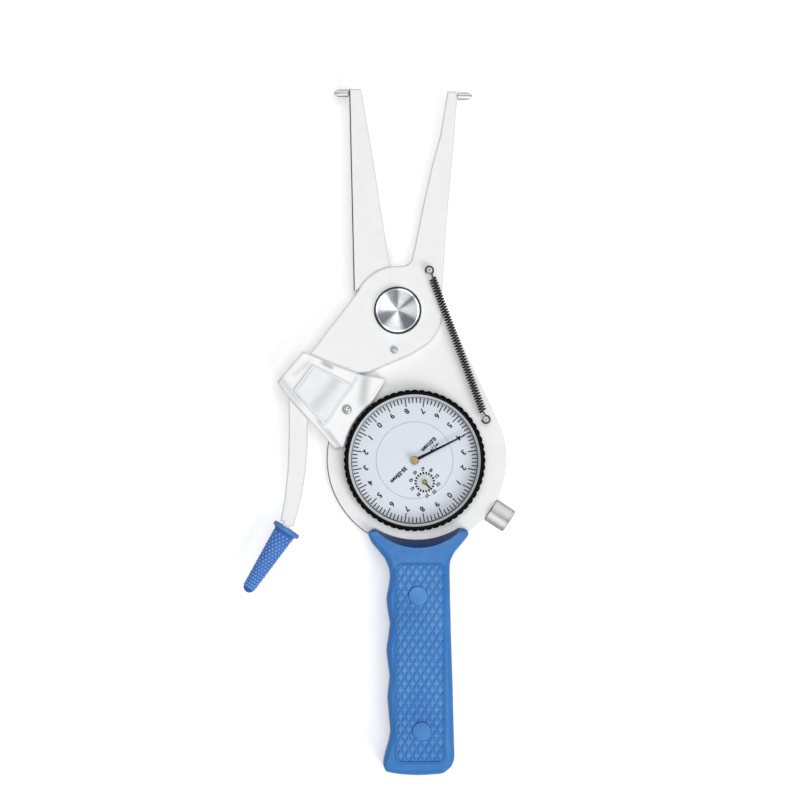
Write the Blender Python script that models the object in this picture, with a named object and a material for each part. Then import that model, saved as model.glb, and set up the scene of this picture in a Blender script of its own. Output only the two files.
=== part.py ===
"""Dial inside caliper gauge with a sprung measuring arm.

The gauge lies on its back. The origin is where the arm's pivot axis meets the rear
resting plane, +Z comes out of the dial, +Y runs along the legs and +X is to the
right when the dial is read. The right leg turns on the pivot with the thumb lever,
and the geared movement behind the dial turns the pointer and the counter hand.
"""

from math import acos, atan2, cos, hypot, pi, radians, sin, sqrt, tau

import bmesh
import bpy
from mathutils import Matrix, Vector

MM = 0.001

# Clearances and cutting allowances
FIT = 0.3 * MM
OVERRUN = 3.0 * MM
SWEEP_CLEARANCE = 0.5 * MM
SMALL_CHAMFER = 0.2 * MM
PLATE_CHAMFER = 0.45 * MM

# Layers, from the rear resting face forward
COVER_FLOOR = 1.2 * MM
COVER_WALL = 1.5 * MM
FRAME_REAR = 7.0 * MM
FRAME_THICKNESS = 3.0 * MM
ARM_THICKNESS = 3.0 * MM
COVER_TOP = FRAME_REAR - FIT
FRAME_FRONT = FRAME_REAR + FRAME_THICKNESS
ARM_REAR = FRAME_FRONT + FIT
ARM_FRONT = ARM_REAR + ARM_THICKNESS

# Legs and pivot boss
BOSS_RADIUS = 17.72 * MM
LAP_RADIUS = 16.45 * MM
LEG_REACH = 88.5 * MM
LEG_SPREAD = 23.6 * MM
ARM_SWING = radians(13.4)
LEG_SPAN = LEG_REACH - BOSS_RADIUS
FIXED_LEG_INNER_SHARES = ((-0.139, 0.011), (-0.431, 0.649), (-0.614, 0.998))
FIXED_LEG_OUTER_SHARES = ((-0.822, 1.0),)
MOVING_LEG_OUTER_SHARES = (
    (0.771, -0.077), (0.825, 0.224), (0.890, 0.476),
    (0.954, 0.692), (1.002, 0.930), (1.002, 0.984),
)
MOVING_LEG_INNER_SHARES = (
    (0.842, 0.986), (0.716, 0.735), (0.565, 0.548),
    (0.413, 0.317), (0.293, 0.116), (0.229, 0.029), (0.156, 0.006),
)
LAP_STEP_ANGLE = radians(29.0)
LAP_STEP_FITS = 4
LEG_ROOT_ANGLE = radians(97.0)
LEG_FOOT_ANGLE = radians(153.0)
ARM_ROOT_ANGLE = radians(79.5)
ARM_FILLET_ANGLE = radians(86.0)

# Contact pins
PIN_RADIUS = 1.48 * MM
PIN_SEAT_RADIUS = 1.0 * MM
PIN_REACH = 6.1 * MM
PIN_SEAT_DEPTH = 2.8 * MM
PIN_DROP = 1.6 * MM
PIN_NOSE_SHARES = ((1.0, 0.0), (0.93, 0.3), (0.72, 0.65), (0.4, 0.88), (0.0, 1.0))
PIN_NOSE_LENGTH = 2.6 * MM

# Thumb lever
LEVER_SIDE = 43.8 * MM
LEVER_DROP = 85.5 * MM
LEVER_LEFT_SHARES = (
    (-0.779, -0.187), (-0.982, -0.321), (-0.993, -0.432), (-0.993, -0.572),
    (-1.001, -0.727), (-1.031, -0.883), (-1.069, -0.984),
)
LEVER_RIGHT_SHARES = (
    (-0.948, -1.007), (-0.880, -0.882), (-0.841, -0.759), (-0.822, -0.634),
    (-0.820, -0.505), (-0.782, -0.395), (-0.663, -0.343), (-0.366, -0.296),
    (-0.267, -0.288), (-0.092, -0.250), (0.117, -0.205),
)
BOSS_START_ANGLE = radians(-50.0)
BOSS_END_ANGLE = radians(156.0)

# Rubber grip on the lever
GRIP_ANGLE = radians(-123.7)
GRIP_LENGTH = 29.0 * MM
GRIP_RADIUS = 4.0 * MM
GRIP_END_RADIUS = 2.6 * MM
GRIP_FLANGE_RADIUS = 5.7 * MM
GRIP_FLANGE_THICKNESS = 2.0 * MM
GRIP_FLANGE_SHARES = ((0.94, 0.0), (1.0, 0.3), (1.0, 0.7), (0.94, 1.0))
GRIP_STRAIGHT_SHARE = 0.35
TONGUE_LENGTH = 15.0 * MM
TONGUE_WIDTH = 3.2 * MM
TONGUE_END_SHARE = 0.7

# Dial centre and housing
DIAL_SIDE = 6.76 * MM
DIAL_DROP = 59.84 * MM
BEZEL_RADIUS = 28.0 * MM
HOUSING_WALL = 7.95 * MM
HOUSING_RADIUS = BEZEL_RADIUS + HOUSING_WALL
HOUSING_SHIFT_X = 0.76 * MM
HOUSING_SHIFT_Y = 0.68 * MM
DIAL_CENTRE = (DIAL_SIDE, -DIAL_DROP)
HOUSING_CENTRE = (DIAL_SIDE + HOUSING_SHIFT_X, -DIAL_DROP + HOUSING_SHIFT_Y)

# Bezel
BEZEL_TEETH = 60
BEZEL_POINTS_PER_TOOTH = 4
BEZEL_TOOTH_HEIGHT = 0.44 * MM
BEZEL_RIM_HEIGHT = 3.4 * MM
BEZEL_OVERHANG = 1.15 * MM
BEZEL_SKIRT_RADIUS = BEZEL_RADIUS - BEZEL_OVERHANG
BEZEL_SKIRT_WALL = 2.1 * MM
BEZEL_LEDGE = 1.45 * MM
CRYSTAL_LEDGE = 0.5 * MM
CRYSTAL_THICKNESS = 0.8 * MM
LINER_HEIGHT = 1.2 * MM
LINER_WIDTH = 1.3 * MM

# Bezel seat in the frame
SEAT_REAR = 5.0 * MM
SEAT_FLOOR = 1.0 * MM
SEAT_WALL = 2.4 * MM
SEAT_LIP = 1.6 * MM

# Dial and movement
DIAL_THICKNESS = 0.6 * MM
DIAL_INNER_RADIUS = 15.45 * MM
DIAL_FOOT_RADIUS = 1.0 * MM
DIAL_FOOT_SHARE = 0.78
DIAL_FOOT_ANGLES = (radians(25.0), radians(205.0))
MOVEMENT_PLATE_THICKNESS = 1.0 * MM
BRIDGE_REAR = 3.6 * MM
BRIDGE_THICKNESS = 0.8 * MM
BRIDGE_PAD_SHARE = 1.8
PILLAR_RADIUS = 1.3 * MM
PILLAR_PLACES = (
    (14.2 * MM, radians(30.0)), (14.2 * MM, radians(150.0)), (20.8 * MM, radians(-66.0)),
)
COUNTER_OFFSET = 9.7 * MM
COUNTER_ANGLE = radians(-65.15)
SECTOR_CIRCLE_TEETH = 330
COUNTER_PINION_TEETH = 12
COUNTER_WHEEL_TEETH = 80
CENTRE_PINION_TEETH = 8
ARBOR_RADIUS = 0.8 * MM
CENTRE_ARBOR_RADIUS = 0.5 * MM
SECTOR_THICKNESS = 1.2 * MM
SECTOR_RIM = 3.5 * MM
SECTOR_WEB_HALF_WIDTH = 3.9 * MM
SECTOR_HUB_RADIUS = 7.0 * MM
SECTOR_WEB_ANGLE = radians(-102.0)
SECTOR_SPARE_TEETH = 2
SECTOR_HEEL_TEETH = 1
SECTOR_TAIL_TEETH = 7
SECTOR_WEB_REACH_SHARE = 1.5
SECTOR_WEB_FLARE_SHARE = 1.4
WHEEL_THICKNESS = 0.8 * MM
TOOTH_ROOT_SHARE = 0.30
TOOTH_TIP_SHARE = 0.12
ADDENDUM_SHARE = 0.75
DEDENDUM_SHARE = 1.05

# Hands
POINTER_LENGTH = 22.45 * MM
POINTER_ROOT_WIDTH = 0.7 * MM
POINTER_TIP_WIDTH = 0.38 * MM
POINTER_BARB_WIDTH = 1.6 * MM
POINTER_BARB_SHARES = (0.86, 0.90)
POINTER_ANGLE = radians(26.6)
POINTER_THICKNESS = 0.4 * MM
POINTER_LIFT = 2.0 * MM
POINTER_HUB_RADIUS = 1.3 * MM
POINTER_HUB_HEIGHT = 0.6 * MM
COUNTER_HAND_LENGTH = 3.85 * MM
COUNTER_HAND_WIDTH = 0.5 * MM
COUNTER_HAND_ANGLE = radians(-48.0)
COUNTER_HAND_THICKNESS = 0.4 * MM
COUNTER_HUB_RADIUS = 1.2 * MM

# Pivot
SPINDLE_RADIUS = 3.5 * MM
BUSH_WALL = 1.9 * MM
SPINDLE_HEAD_RADIUS = 5.5 * MM
SPINDLE_HEAD_THICKNESS = 1.2 * MM
PIVOT_CAP_RADIUS = 8.82 * MM
PIVOT_CAP_HEIGHT = 3.0 * MM
PIVOT_RECESS_WIDTH = 0.7 * MM
PIVOT_RECESS_DEPTH = 0.6 * MM
DRIVE_SCREW_RADIUS = 0.9 * MM
DRIVE_SCREW_HEAD_RADIUS = 1.45 * MM
DRIVE_SCREW_HEAD_HEIGHT = 0.9 * MM
DRIVE_SCREW_REACH = 15.8 * MM
DRIVE_SCREW_ANGLE = radians(-95.1)

# Lever guard
GUARD_SIDE = 48.2 * MM
GUARD_DROP = 54.8 * MM
GUARD_THICKNESS = 1.5 * MM
GUARD_SLOPE = 0.9 * MM
GUARD_WALL = 1.3 * MM
GUARD_UPPER_SHARES = (
    (-0.998, -0.522), (-0.781, -0.299), (-0.640, -0.350),
    (-0.512, -0.399), (-0.309, -0.466), (-0.226, -0.517),
)
GUARD_LOWER_SHARES = ((-0.527, -1.001), (-0.594, -0.931), (-0.745, -0.788), (-0.911, -0.624))
GUARD_PANEL_SHARES = (
    (-0.703, -0.395), (-0.381, -0.517), (-0.361, -0.568), (-0.477, -0.676), (-0.535, -0.753),
    (-0.577, -0.829), (-0.600, -0.845), (-0.629, -0.829), (-0.861, -0.581),
)
GUARD_FOOT_EDGE_SHARES = LEVER_RIGHT_SHARES[4:9]
GUARD_ARC_ANGLES = (radians(127.0), radians(169.5))
GUARD_FOOT_ARC_ANGLES = (radians(128.5), radians(156.0))
GUARD_PANEL_THICKNESS = 0.6 * MM
GUARD_SCREW_GAP = 5.77 * MM
GUARD_SCREW_ANGLE = radians(143.0)
GUARD_SCREW_RADIUS = 1.1 * MM
GUARD_SCREW_HEAD_RADIUS = 1.9 * MM
GUARD_SCREW_HEAD_HEIGHT = 0.8 * MM

# Bezel clamp
CLAMP_ANGLE = radians(-33.0)
CLAMP_HEIGHT = 7.6 * MM
CLAMP_KNOB_RADIUS = 5.0 * MM
CLAMP_KNOB_LENGTH = 8.0 * MM
CLAMP_SHANK_RADIUS = 1.2 * MM
CLAMP_BOSS_RADIUS = 2.6 * MM
CLAMP_CHAMFER = 0.5 * MM
CLAMP_RELEASE = 0.9 * MM

# Return spring and its posts
ARM_POST_SIDE = 12.64 * MM
ARM_POST_RISE = 15.93 * MM
FRAME_POST_SIDE = 35.16 * MM
FRAME_POST_DROP = 43.5 * MM
POST_RADIUS = 0.85 * MM
POST_HEAD_RADIUS = 1.35 * MM
POST_HEAD_HEIGHT = 0.7 * MM
SPRING_HEIGHT = 15.5 * MM
SPRING_RADIUS = 1.24 * MM
SPRING_WIRE_RADIUS = 0.27 * MM
SPRING_CURLS = 42
SPRING_POINTS_PER_CURL = 8
SPRING_LEAD = 3.53 * MM
HOOK_RADIUS = 1.75 * MM
HOOK_SWEEP = radians(261.0)
HOOK_POINTS = 9

# Handle
HANDLE_AXIS = 8.88 * MM
HANDLE_TOP = 87.15 * MM
HANDLE_LENGTH = 98.2 * MM
HANDLE_HALF_WIDTH = 13.15 * MM
HANDLE_FRONT = 17.0 * MM
HANDLE_SPLIT = FRAME_REAR + FRAME_THICKNESS / 2
HANDLE_ROUNDING = 3.2 * MM
HANDLE_ROUNDING_WIDTH = 2.2 * MM
HANDLE_LEFT_SHARES = (
    (-1.390, 0.000), (-1.565, 0.023), (-1.460, 0.056), (-1.268, 0.087),
    (-1.064, 0.121), (-0.940, 0.161), (-0.915, 0.196), (-0.950, 0.235), (-1.016, 0.283),
    (-0.975, 0.334), (-0.915, 0.384), (-0.958, 0.436), (-1.016, 0.493), (-0.975, 0.544),
    (-0.924, 0.594), (-0.950, 0.636), (-0.988, 0.682), (-0.950, 0.748), (-0.903, 0.824),
    (-0.964, 0.871), (-1.064, 0.918), (-1.120, 0.955), (-1.030, 0.986),
)
HANDLE_END_SHARES = ((-0.700, 0.994), (-0.400, 0.998), (-0.057, 1.000), (0.300, 0.998), (0.700, 0.992))
HANDLE_RIGHT_SHARES = (
    (0.953, 0.965), (1.043, 0.932), (1.028, 0.844), (0.992, 0.641), (0.943, 0.438),
    (0.913, 0.270), (0.901, 0.155), (0.928, 0.128), (1.052, 0.094), (1.305, 0.054),
    (1.470, 0.022), (1.290, -0.002),
)
HANDLE_SECTION_SHARES = ((0.0, 1.0), (0.12, 0.62), (0.45, 0.26), (1.0, 0.0))
SCOOP_OVERLAP = 3.6 * MM
SCOOP_LIP = 0.5 * MM
TANG_WIDTH = 12.0 * MM
TANG_LENGTH_SHARE = 0.88
PANEL_LEFT_SHARE = 0.73
PANEL_RIGHT_SHARE = 0.74
PANEL_TOP_SHARE = 0.142
PANEL_END_SHARE = 0.945
PANEL_HEIGHT = 0.35 * MM
HANDLE_SCREW_PLACES = ((-0.067, 0.268), (0.046, 0.818))
HANDLE_SCREW_RADIUS = 1.5 * MM
HANDLE_SCREW_HEAD_RADIUS = 2.8 * MM
HANDLE_SCREW_HEAD_HEIGHT = 1.6 * MM
PLUG_RADIUS = 3.3 * MM
PLUG_DEPTH = 2.0 * MM

# Rear cover screws
COVER_SCREW_RADIUS = 1.0 * MM
COVER_SCREW_HEAD_RADIUS = 1.6 * MM
COVER_SCREW_HEAD_HEIGHT = 0.6 * MM
COVER_BOSS_RADIUS = 2.4 * MM
COVER_NECK_REACH = 12.0 * MM
COVER_NECK_ANGLES = (radians(55.0), radians(125.0))
COVER_SCREW_INSET = 2.75 * MM
COVER_HOUSING_ANGLES = (radians(8.0), radians(178.0))

# Facets on round work
ROUND_STEPS = 28
DIAL_STEPS = 48
SMALL_STEPS = 12
TINY_STEPS = 8
BOSS_STEPS = 14
HOUSING_STEPS = 22
HUB_STEPS = 16
EDGE_STEPS = 10
CORNER_STEPS = 4
SHADE_ANGLE = radians(32.0)


def linear(value):
    """Turn one display colour value from 0 to 255 into a linear one."""
    share = value / 255
    if share <= 0.04045:
        return share / 12.92
    return ((share + 0.055) / 1.055) ** 2.4


FINISHES = {
    "white_paint": ((238, 239, 240), 0.42, 0.0),
    "blue_plastic": ((92, 142, 206), 0.48, 0.0),
    "blue_rubber": ((84, 132, 208), 0.6, 0.0),
    "brushed_steel": ((198, 200, 203), 0.32, 1.0),
    "polished_steel": ((214, 216, 219), 0.16, 1.0),
    "dark_steel": ((38, 38, 41), 0.4, 1.0),
    "brass": ((196, 164, 92), 0.3, 1.0),
    "bronze": ((168, 124, 78), 0.4, 1.0),
    "black_paint": ((16, 16, 18), 0.42, 0.0),
    "grey_liner": ((120, 126, 134), 0.5, 0.0),
    "dial_enamel": ((224, 230, 238), 0.5, 0.0),
    "crystal": ((244, 248, 252), 0.05, 0.0),
    "silver_paint": ((206, 209, 213), 0.38, 0.6),
}


def finish(obj, key):
    """Give an object its own material from the table of finishes."""
    colour, roughness, metallic = FINISHES[key]
    material = bpy.data.materials.new(obj.name + "_" + key)
    material.use_nodes = True
    shader = material.node_tree.nodes["Principled BSDF"]
    shader.inputs["Base Color"].default_value = tuple(linear(value) for value in colour) + (1,)
    shader.inputs["Roughness"].default_value = roughness
    shader.inputs["Metallic"].default_value = metallic
    if key == "crystal":
        shader.inputs["Transmission Weight"].default_value = 1
    obj.data.materials.append(material)
    return obj


def polar(centre, radius, angle):
    """Return the point at a radius and an angle from a centre."""
    return (centre[0] + radius * cos(angle), centre[1] + radius * sin(angle))


def arc(centre, radius, start, end, steps):
    """Return the points of an arc, both ends included."""
    return [polar(centre, radius, start + (end - start) * step / steps) for step in range(steps + 1)]


def scaled(shares, size_x, size_y, origin=(0, 0)):
    """Return an outline from its shares of two sizes."""
    return [(origin[0] + x * size_x, origin[1] + y * size_y) for x, y in shares]


def swung(point, angle):
    """Return a point turned about the pivot axis."""
    return (
        point[0] * cos(angle) - point[1] * sin(angle),
        point[0] * sin(angle) + point[1] * cos(angle),
    )


def inset(outline, distance):
    """Move a counter-clockwise outline inward by a distance."""
    moved = []
    count = len(outline)
    for index in range(count):
        before = Vector(outline[index - 1])
        here = Vector(outline[index])
        after = Vector(outline[(index + 1) % count])
        first = (here - before).normalized()
        second = (after - here).normalized()
        normal = Vector((-first.y - second.y, first.x + second.x))
        stretch = max(1 + first.dot(second), 0.35)
        moved.append(tuple(here + normal * (distance / stretch)))
    return moved


def lofted(name, rings, origin=(0, 0)):
    """Bridge a stack of (outline, height) rings into one closed solid."""
    mesh = bpy.data.meshes.new(name)
    work = bmesh.new()
    loops = []
    for outline, height in rings:
        loops.append([
            work.verts.new((x - origin[0], y - origin[1], height)) for x, y in outline
        ])
    count = len(loops[0])
    for lower, upper in zip(loops, loops[1:]):
        for index in range(count):
            follow = (index + 1) % count
            work.faces.new((lower[index], lower[follow], upper[follow], upper[index]))
    work.faces.new(list(reversed(loops[0])))
    work.faces.new(loops[-1])
    bmesh.ops.recalc_face_normals(work, faces=work.faces)
    work.to_mesh(mesh)
    work.free()
    mesh.shade_smooth()
    mesh.set_sharp_from_angle(angle=SHADE_ANGLE)
    obj = bpy.data.objects.new(name, mesh)
    obj.location = (origin[0], origin[1], 0)
    bpy.context.collection.objects.link(obj)
    return obj


def plate(name, outline, rear, front, origin=(0, 0), front_chamfer=0, rear_chamfer=0):
    """Raise a flat plate from an outline, with a chamfer on either face."""
    rings = []
    if rear_chamfer:
        rings.append((inset(outline, rear_chamfer), rear))
        rings.append((outline, rear + rear_chamfer))
    else:
        rings.append((outline, rear))
    if front_chamfer:
        rings.append((outline, front - front_chamfer))
        rings.append((inset(outline, front_chamfer), front))
    else:
        rings.append((outline, front))
    return lofted(name, rings, origin)


def turned(name, profile, steps, origin=(0, 0), height=0):
    """Spin a (radius, height) profile about the upright axis through a point."""
    mesh = bpy.data.meshes.new(name)
    work = bmesh.new()
    points = [work.verts.new((radius, 0, level)) for radius, level in profile]
    edges = [work.edges.new(pair) for pair in zip(points, points[1:])]
    if min(radius for radius, _ in profile) > 0:
        edges.append(work.edges.new((points[-1], points[0])))
    bmesh.ops.spin(
        work, geom=points + edges, cent=(0, 0, 0), axis=(0, 0, 1),
        angle=tau, steps=steps, use_merge=True,
    )
    bmesh.ops.remove_doubles(work, verts=work.verts, dist=SMALL_CHAMFER * SMALL_CHAMFER)
    bmesh.ops.recalc_face_normals(work, faces=work.faces)
    work.to_mesh(mesh)
    work.free()
    mesh.shade_smooth()
    mesh.set_sharp_from_angle(angle=SHADE_ANGLE)
    obj = bpy.data.objects.new(name, mesh)
    obj.location = (origin[0], origin[1], height)
    bpy.context.collection.objects.link(obj)
    return obj


def rod(name, centre, radius, rear, front, steps, chamfer=0):
    """Turn a plain upright rod or disc, with an optional front chamfer."""
    profile = [(0, rear), (radius, rear)]
    if chamfer:
        profile += [(radius, front - chamfer), (radius - chamfer, front)]
    else:
        profile += [(radius, front)]
    profile += [(0, front)]
    return turned(name, profile, steps, centre)


def apply_shape(obj, other, operation):
    """Cut or join one object with another by a Boolean modifier."""
    modifier = obj.modifiers.new(other.name, "BOOLEAN")
    modifier.operation = operation
    modifier.solver = "EXACT"
    modifier.object = other
    other.hide_render = True
    other.display_type = "WIRE"
    return obj


def cut(obj, cutter):
    """Take a cutter's shape out of an object."""
    return apply_shape(obj, cutter, "DIFFERENCE")


def join(obj, other):
    """Add a guide's shape to an object."""
    return apply_shape(obj, other, "UNION")


def bore(obj, centre, radius, rear, front, steps=SMALL_STEPS):
    """Drill an upright hole through part of an object."""
    label = "%s_bore_%d" % (obj.name, len(obj.modifiers))
    return cut(obj, rod(label, centre, radius, rear, front, steps))


def stepped_bore(obj, centre, wide, narrow, rear, step, front, steps=SMALL_STEPS):
    """Drill an upright hole that is wide up to a step and narrow beyond it."""
    label = "%s_bore_%d" % (obj.name, len(obj.modifiers))
    profile = [(0, rear), (wide, rear), (wide, step), (narrow, step), (narrow, front), (0, front)]
    return cut(obj, turned(label, profile, steps, centre))


def lay_radial(obj, angle, height):
    """Lay an upright turned piece along a spoke from the dial centre."""
    spoke = Vector((cos(angle), sin(angle), 0))
    turn = spoke.to_track_quat("Z", "Y").to_matrix().to_4x4()
    obj.matrix_world = Matrix.Translation((DIAL_CENTRE[0], DIAL_CENTRE[1], height)) @ turn
    return obj


def neck_tangent():
    """Return the spoke angles of the two lines that join the boss to the housing."""
    distance = hypot(*HOUSING_CENTRE)
    heading = atan2(HOUSING_CENTRE[1], HOUSING_CENTRE[0])
    spread = acos((BOSS_RADIUS - HOUSING_RADIUS) / distance)
    return heading + spread, heading - spread + tau


def body_outline(margin):
    """Return the outline round the boss and the housing, moved in by a margin."""
    right, left = neck_tangent()
    points = arc((0, 0), BOSS_RADIUS - margin, right, left, BOSS_STEPS)
    points += arc(HOUSING_CENTRE, HOUSING_RADIUS - margin, left, right + tau, HOUSING_STEPS * 2)
    return points


def counter_centre():
    """Return the place of the counter arbor."""
    return polar(DIAL_CENTRE, COUNTER_OFFSET, COUNTER_ANGLE)


def sector_numbers():
    """Return the sector's pitch radius, its module and the heading of its mesh."""
    place = counter_centre()
    distance = hypot(*place)
    radius = distance * SECTOR_CIRCLE_TEETH / (SECTOR_CIRCLE_TEETH - COUNTER_PINION_TEETH)
    return radius, 2 * radius / SECTOR_CIRCLE_TEETH, atan2(place[1], place[0])


def wheel_module():
    """Return the module of the counter wheel and the centre pinion."""
    return 2 * COUNTER_OFFSET / (COUNTER_WHEEL_TEETH + CENTRE_PINION_TEETH)


def gear_outline(centre, teeth, module, tooth_angle):
    """Return the outline of an outward toothed wheel with a tooth at one angle."""
    points = []
    pitch = tau / teeth
    radius = module * teeth / 2
    root = radius - DEDENDUM_SHARE * module
    tip = radius + ADDENDUM_SHARE * module
    for index in range(teeth):
        middle = tooth_angle + index * pitch
        points.append(polar(centre, root, middle - TOOTH_ROOT_SHARE * pitch))
        points.append(polar(centre, tip, middle - TOOTH_TIP_SHARE * pitch))
        points.append(polar(centre, tip, middle + TOOTH_TIP_SHARE * pitch))
        points.append(polar(centre, root, middle + TOOTH_ROOT_SHARE * pitch))
    return points


def seat_top():
    """Return the height of the floor of the bezel seat."""
    return SEAT_REAR + SEAT_FLOOR


def dial_top():
    """Return the height of the dial's face."""
    return FRAME_FRONT


def dial_rear():
    """Return the height of the dial's underside."""
    return dial_top() - DIAL_THICKNESS


def rim_rear():
    """Return the height of the underside of the bezel's rim, over the lever."""
    return ARM_FRONT + FIT


def rim_front():
    """Return the height of the bezel's front face."""
    return rim_rear() + BEZEL_RIM_HEIGHT


def tang_x(side):
    """Return the x of one edge of the tang inside the handle."""
    return HANDLE_AXIS + side * TANG_WIDTH / 2


def tang_end():
    """Return the y of the tang's lower end."""
    return -HANDLE_TOP - HANDLE_LENGTH * TANG_LENGTH_SHARE


def tang_outline(margin):
    """Return the outline of the tang or of its pocket, from inside the housing down."""
    start = HOUSING_CENTRE[1] - HOUSING_RADIUS / 2
    left = tang_x(-1) - margin
    right = tang_x(1) + margin
    end = tang_end() - margin
    corner = TANG_WIDTH / 4
    return [
        (left, start), (left, end + corner), (left + corner, end),
        (right - corner, end), (right, end + corner), (right, start),
    ]


def handle_screw_place(index):
    """Return the place of one handle screw."""
    share_x, share_y = HANDLE_SCREW_PLACES[index]
    return (HANDLE_AXIS + share_x * HANDLE_HALF_WIDTH, -HANDLE_TOP - share_y * HANDLE_LENGTH)


def fixed_leg_outline():
    """Return the fixed leg's edge points from its inner root to its outer tip."""
    origin = (0, BOSS_RADIUS)
    inner = scaled(FIXED_LEG_INNER_SHARES, LEG_SPREAD, LEG_SPAN, origin)
    outer = scaled(FIXED_LEG_OUTER_SHARES, LEG_SPREAD, LEG_SPAN, origin)
    return inner + outer


def moving_leg_outline():
    """Return the moving leg's edge points from its outer root round to its inner root."""
    origin = (0, BOSS_RADIUS)
    outer = scaled(MOVING_LEG_OUTER_SHARES, LEG_SPREAD, LEG_SPAN, origin)
    inner = scaled(MOVING_LEG_INNER_SHARES, LEG_SPREAD, LEG_SPAN, origin)
    return outer + inner


def build_main_frame():
    """Model the white frame: fixed leg, neck, housing, bezel seat and tang."""
    right, left = neck_tangent()
    foot_drop = -sqrt(HOUSING_RADIUS ** 2 - (tang_x(1) - HOUSING_CENTRE[0]) ** 2)
    tang_right = atan2(foot_drop, tang_x(1) - HOUSING_CENTRE[0])
    foot_drop = -sqrt(HOUSING_RADIUS ** 2 - (tang_x(-1) - HOUSING_CENTRE[0]) ** 2)
    tang_left = atan2(foot_drop, tang_x(-1) - HOUSING_CENTRE[0])
    outline = arc((0, 0), LAP_RADIUS, LAP_STEP_ANGLE, LEG_ROOT_ANGLE, BOSS_STEPS)
    outline += fixed_leg_outline()
    outline += [polar((0, 0), BOSS_RADIUS, left)]
    outline += arc(HOUSING_CENTRE, HOUSING_RADIUS, left, tang_left + tau, HOUSING_STEPS)
    outline += tang_outline(0)[1:-1]
    outline += arc(HOUSING_CENTRE, HOUSING_RADIUS, tang_right, right, HOUSING_STEPS)
    outline += arc((0, 0), BOSS_RADIUS, right, LAP_STEP_ANGLE - PLATE_CHAMFER / LAP_RADIUS, 1)
    frame = plate("main_frame", outline, FRAME_REAR, ARM_FRONT, (0, 0), PLATE_CHAMFER, PLATE_CHAMFER)
    seat_outer = BEZEL_SKIRT_RADIUS + FIT + SEAT_WALL
    seat = rod("frame_seat_ring", DIAL_CENTRE, seat_outer, SEAT_REAR,
               FRAME_FRONT - FRAME_THICKNESS / 2, DIAL_STEPS)
    join(frame, seat)
    boss_start = BEZEL_SKIRT_RADIUS + SEAT_WALL / 2
    boss_end = HOUSING_RADIUS - SMALL_CHAMFER
    boss = turned("frame_clamp_boss", [
        (0, boss_start), (CLAMP_BOSS_RADIUS, boss_start), (CLAMP_BOSS_RADIUS, boss_end), (0, boss_end),
    ], SMALL_STEPS)
    join(frame, lay_radial(boss, CLAMP_ANGLE, CLAMP_HEIGHT))
    front_cut = arc((0, 0), BOSS_RADIUS + FIT, LEG_ROOT_ANGLE - ARM_SWING, LEG_FOOT_ANGLE, HUB_STEPS)
    reach = HOUSING_RADIUS * 2
    front_cut += [
        (-reach, front_cut[-1][1]), (-reach, tang_end() - OVERRUN),
        (reach, tang_end() - OVERRUN), (reach, front_cut[0][1]),
    ]
    cut(frame, plate("frame_front_cut", front_cut, FRAME_FRONT, ARM_FRONT + OVERRUN))
    lip = BEZEL_SKIRT_RADIUS - BEZEL_SKIRT_WALL - SEAT_LIP
    cut(frame, turned("frame_dial_bore", [
        (0, SEAT_REAR - OVERRUN), (lip, SEAT_REAR - OVERRUN), (lip, seat_top()),
        (BEZEL_SKIRT_RADIUS + FIT, seat_top()), (BEZEL_SKIRT_RADIUS + FIT, FRAME_FRONT + OVERRUN),
        (0, FRAME_FRONT + OVERRUN),
    ], DIAL_STEPS, DIAL_CENTRE))
    bush = SPINDLE_RADIUS + FIT + BUSH_WALL + FIT
    bore(frame, (0, 0), bush, FRAME_REAR - OVERRUN, FRAME_FRONT + OVERRUN, ROUND_STEPS)
    cut(frame, plate("frame_drive_slot", drive_slot_outline(), FRAME_REAR - OVERRUN,
                     FRAME_FRONT + OVERRUN))
    clamp_hole = turned("frame_clamp_hole", [
        (0, BEZEL_SKIRT_RADIUS - SEAT_WALL), (CLAMP_SHANK_RADIUS + FIT, BEZEL_SKIRT_RADIUS - SEAT_WALL),
        (CLAMP_SHANK_RADIUS + FIT, HOUSING_RADIUS + OVERRUN), (0, HOUSING_RADIUS + OVERRUN),
    ], TINY_STEPS)
    cut(frame, lay_radial(clamp_hole, CLAMP_ANGLE, CLAMP_HEIGHT))
    for index in range(len(HANDLE_SCREW_PLACES)):
        bore(frame, handle_screw_place(index), HANDLE_SCREW_RADIUS + FIT,
             FRAME_REAR - OVERRUN, FRAME_FRONT + OVERRUN)
    for place in cover_screw_places():
        bore(frame, place, COVER_SCREW_RADIUS + FIT, FRAME_REAR - OVERRUN,
             FRAME_FRONT - FRAME_THICKNESS / 3, TINY_STEPS)
    bore(frame, guard_screw_place(), GUARD_SCREW_RADIUS + FIT, FRAME_REAR + FRAME_THICKNESS / 3,
         FRAME_FRONT + OVERRUN, TINY_STEPS)
    bore(frame, frame_post_place(), POST_RADIUS + FIT, FRAME_REAR + FRAME_THICKNESS / 3,
         FRAME_FRONT + OVERRUN, TINY_STEPS)
    cut(frame, pin_socket("fixed_pin_socket", fixed_pin_place(), pi))
    return finish(frame, "white_paint")


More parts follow.
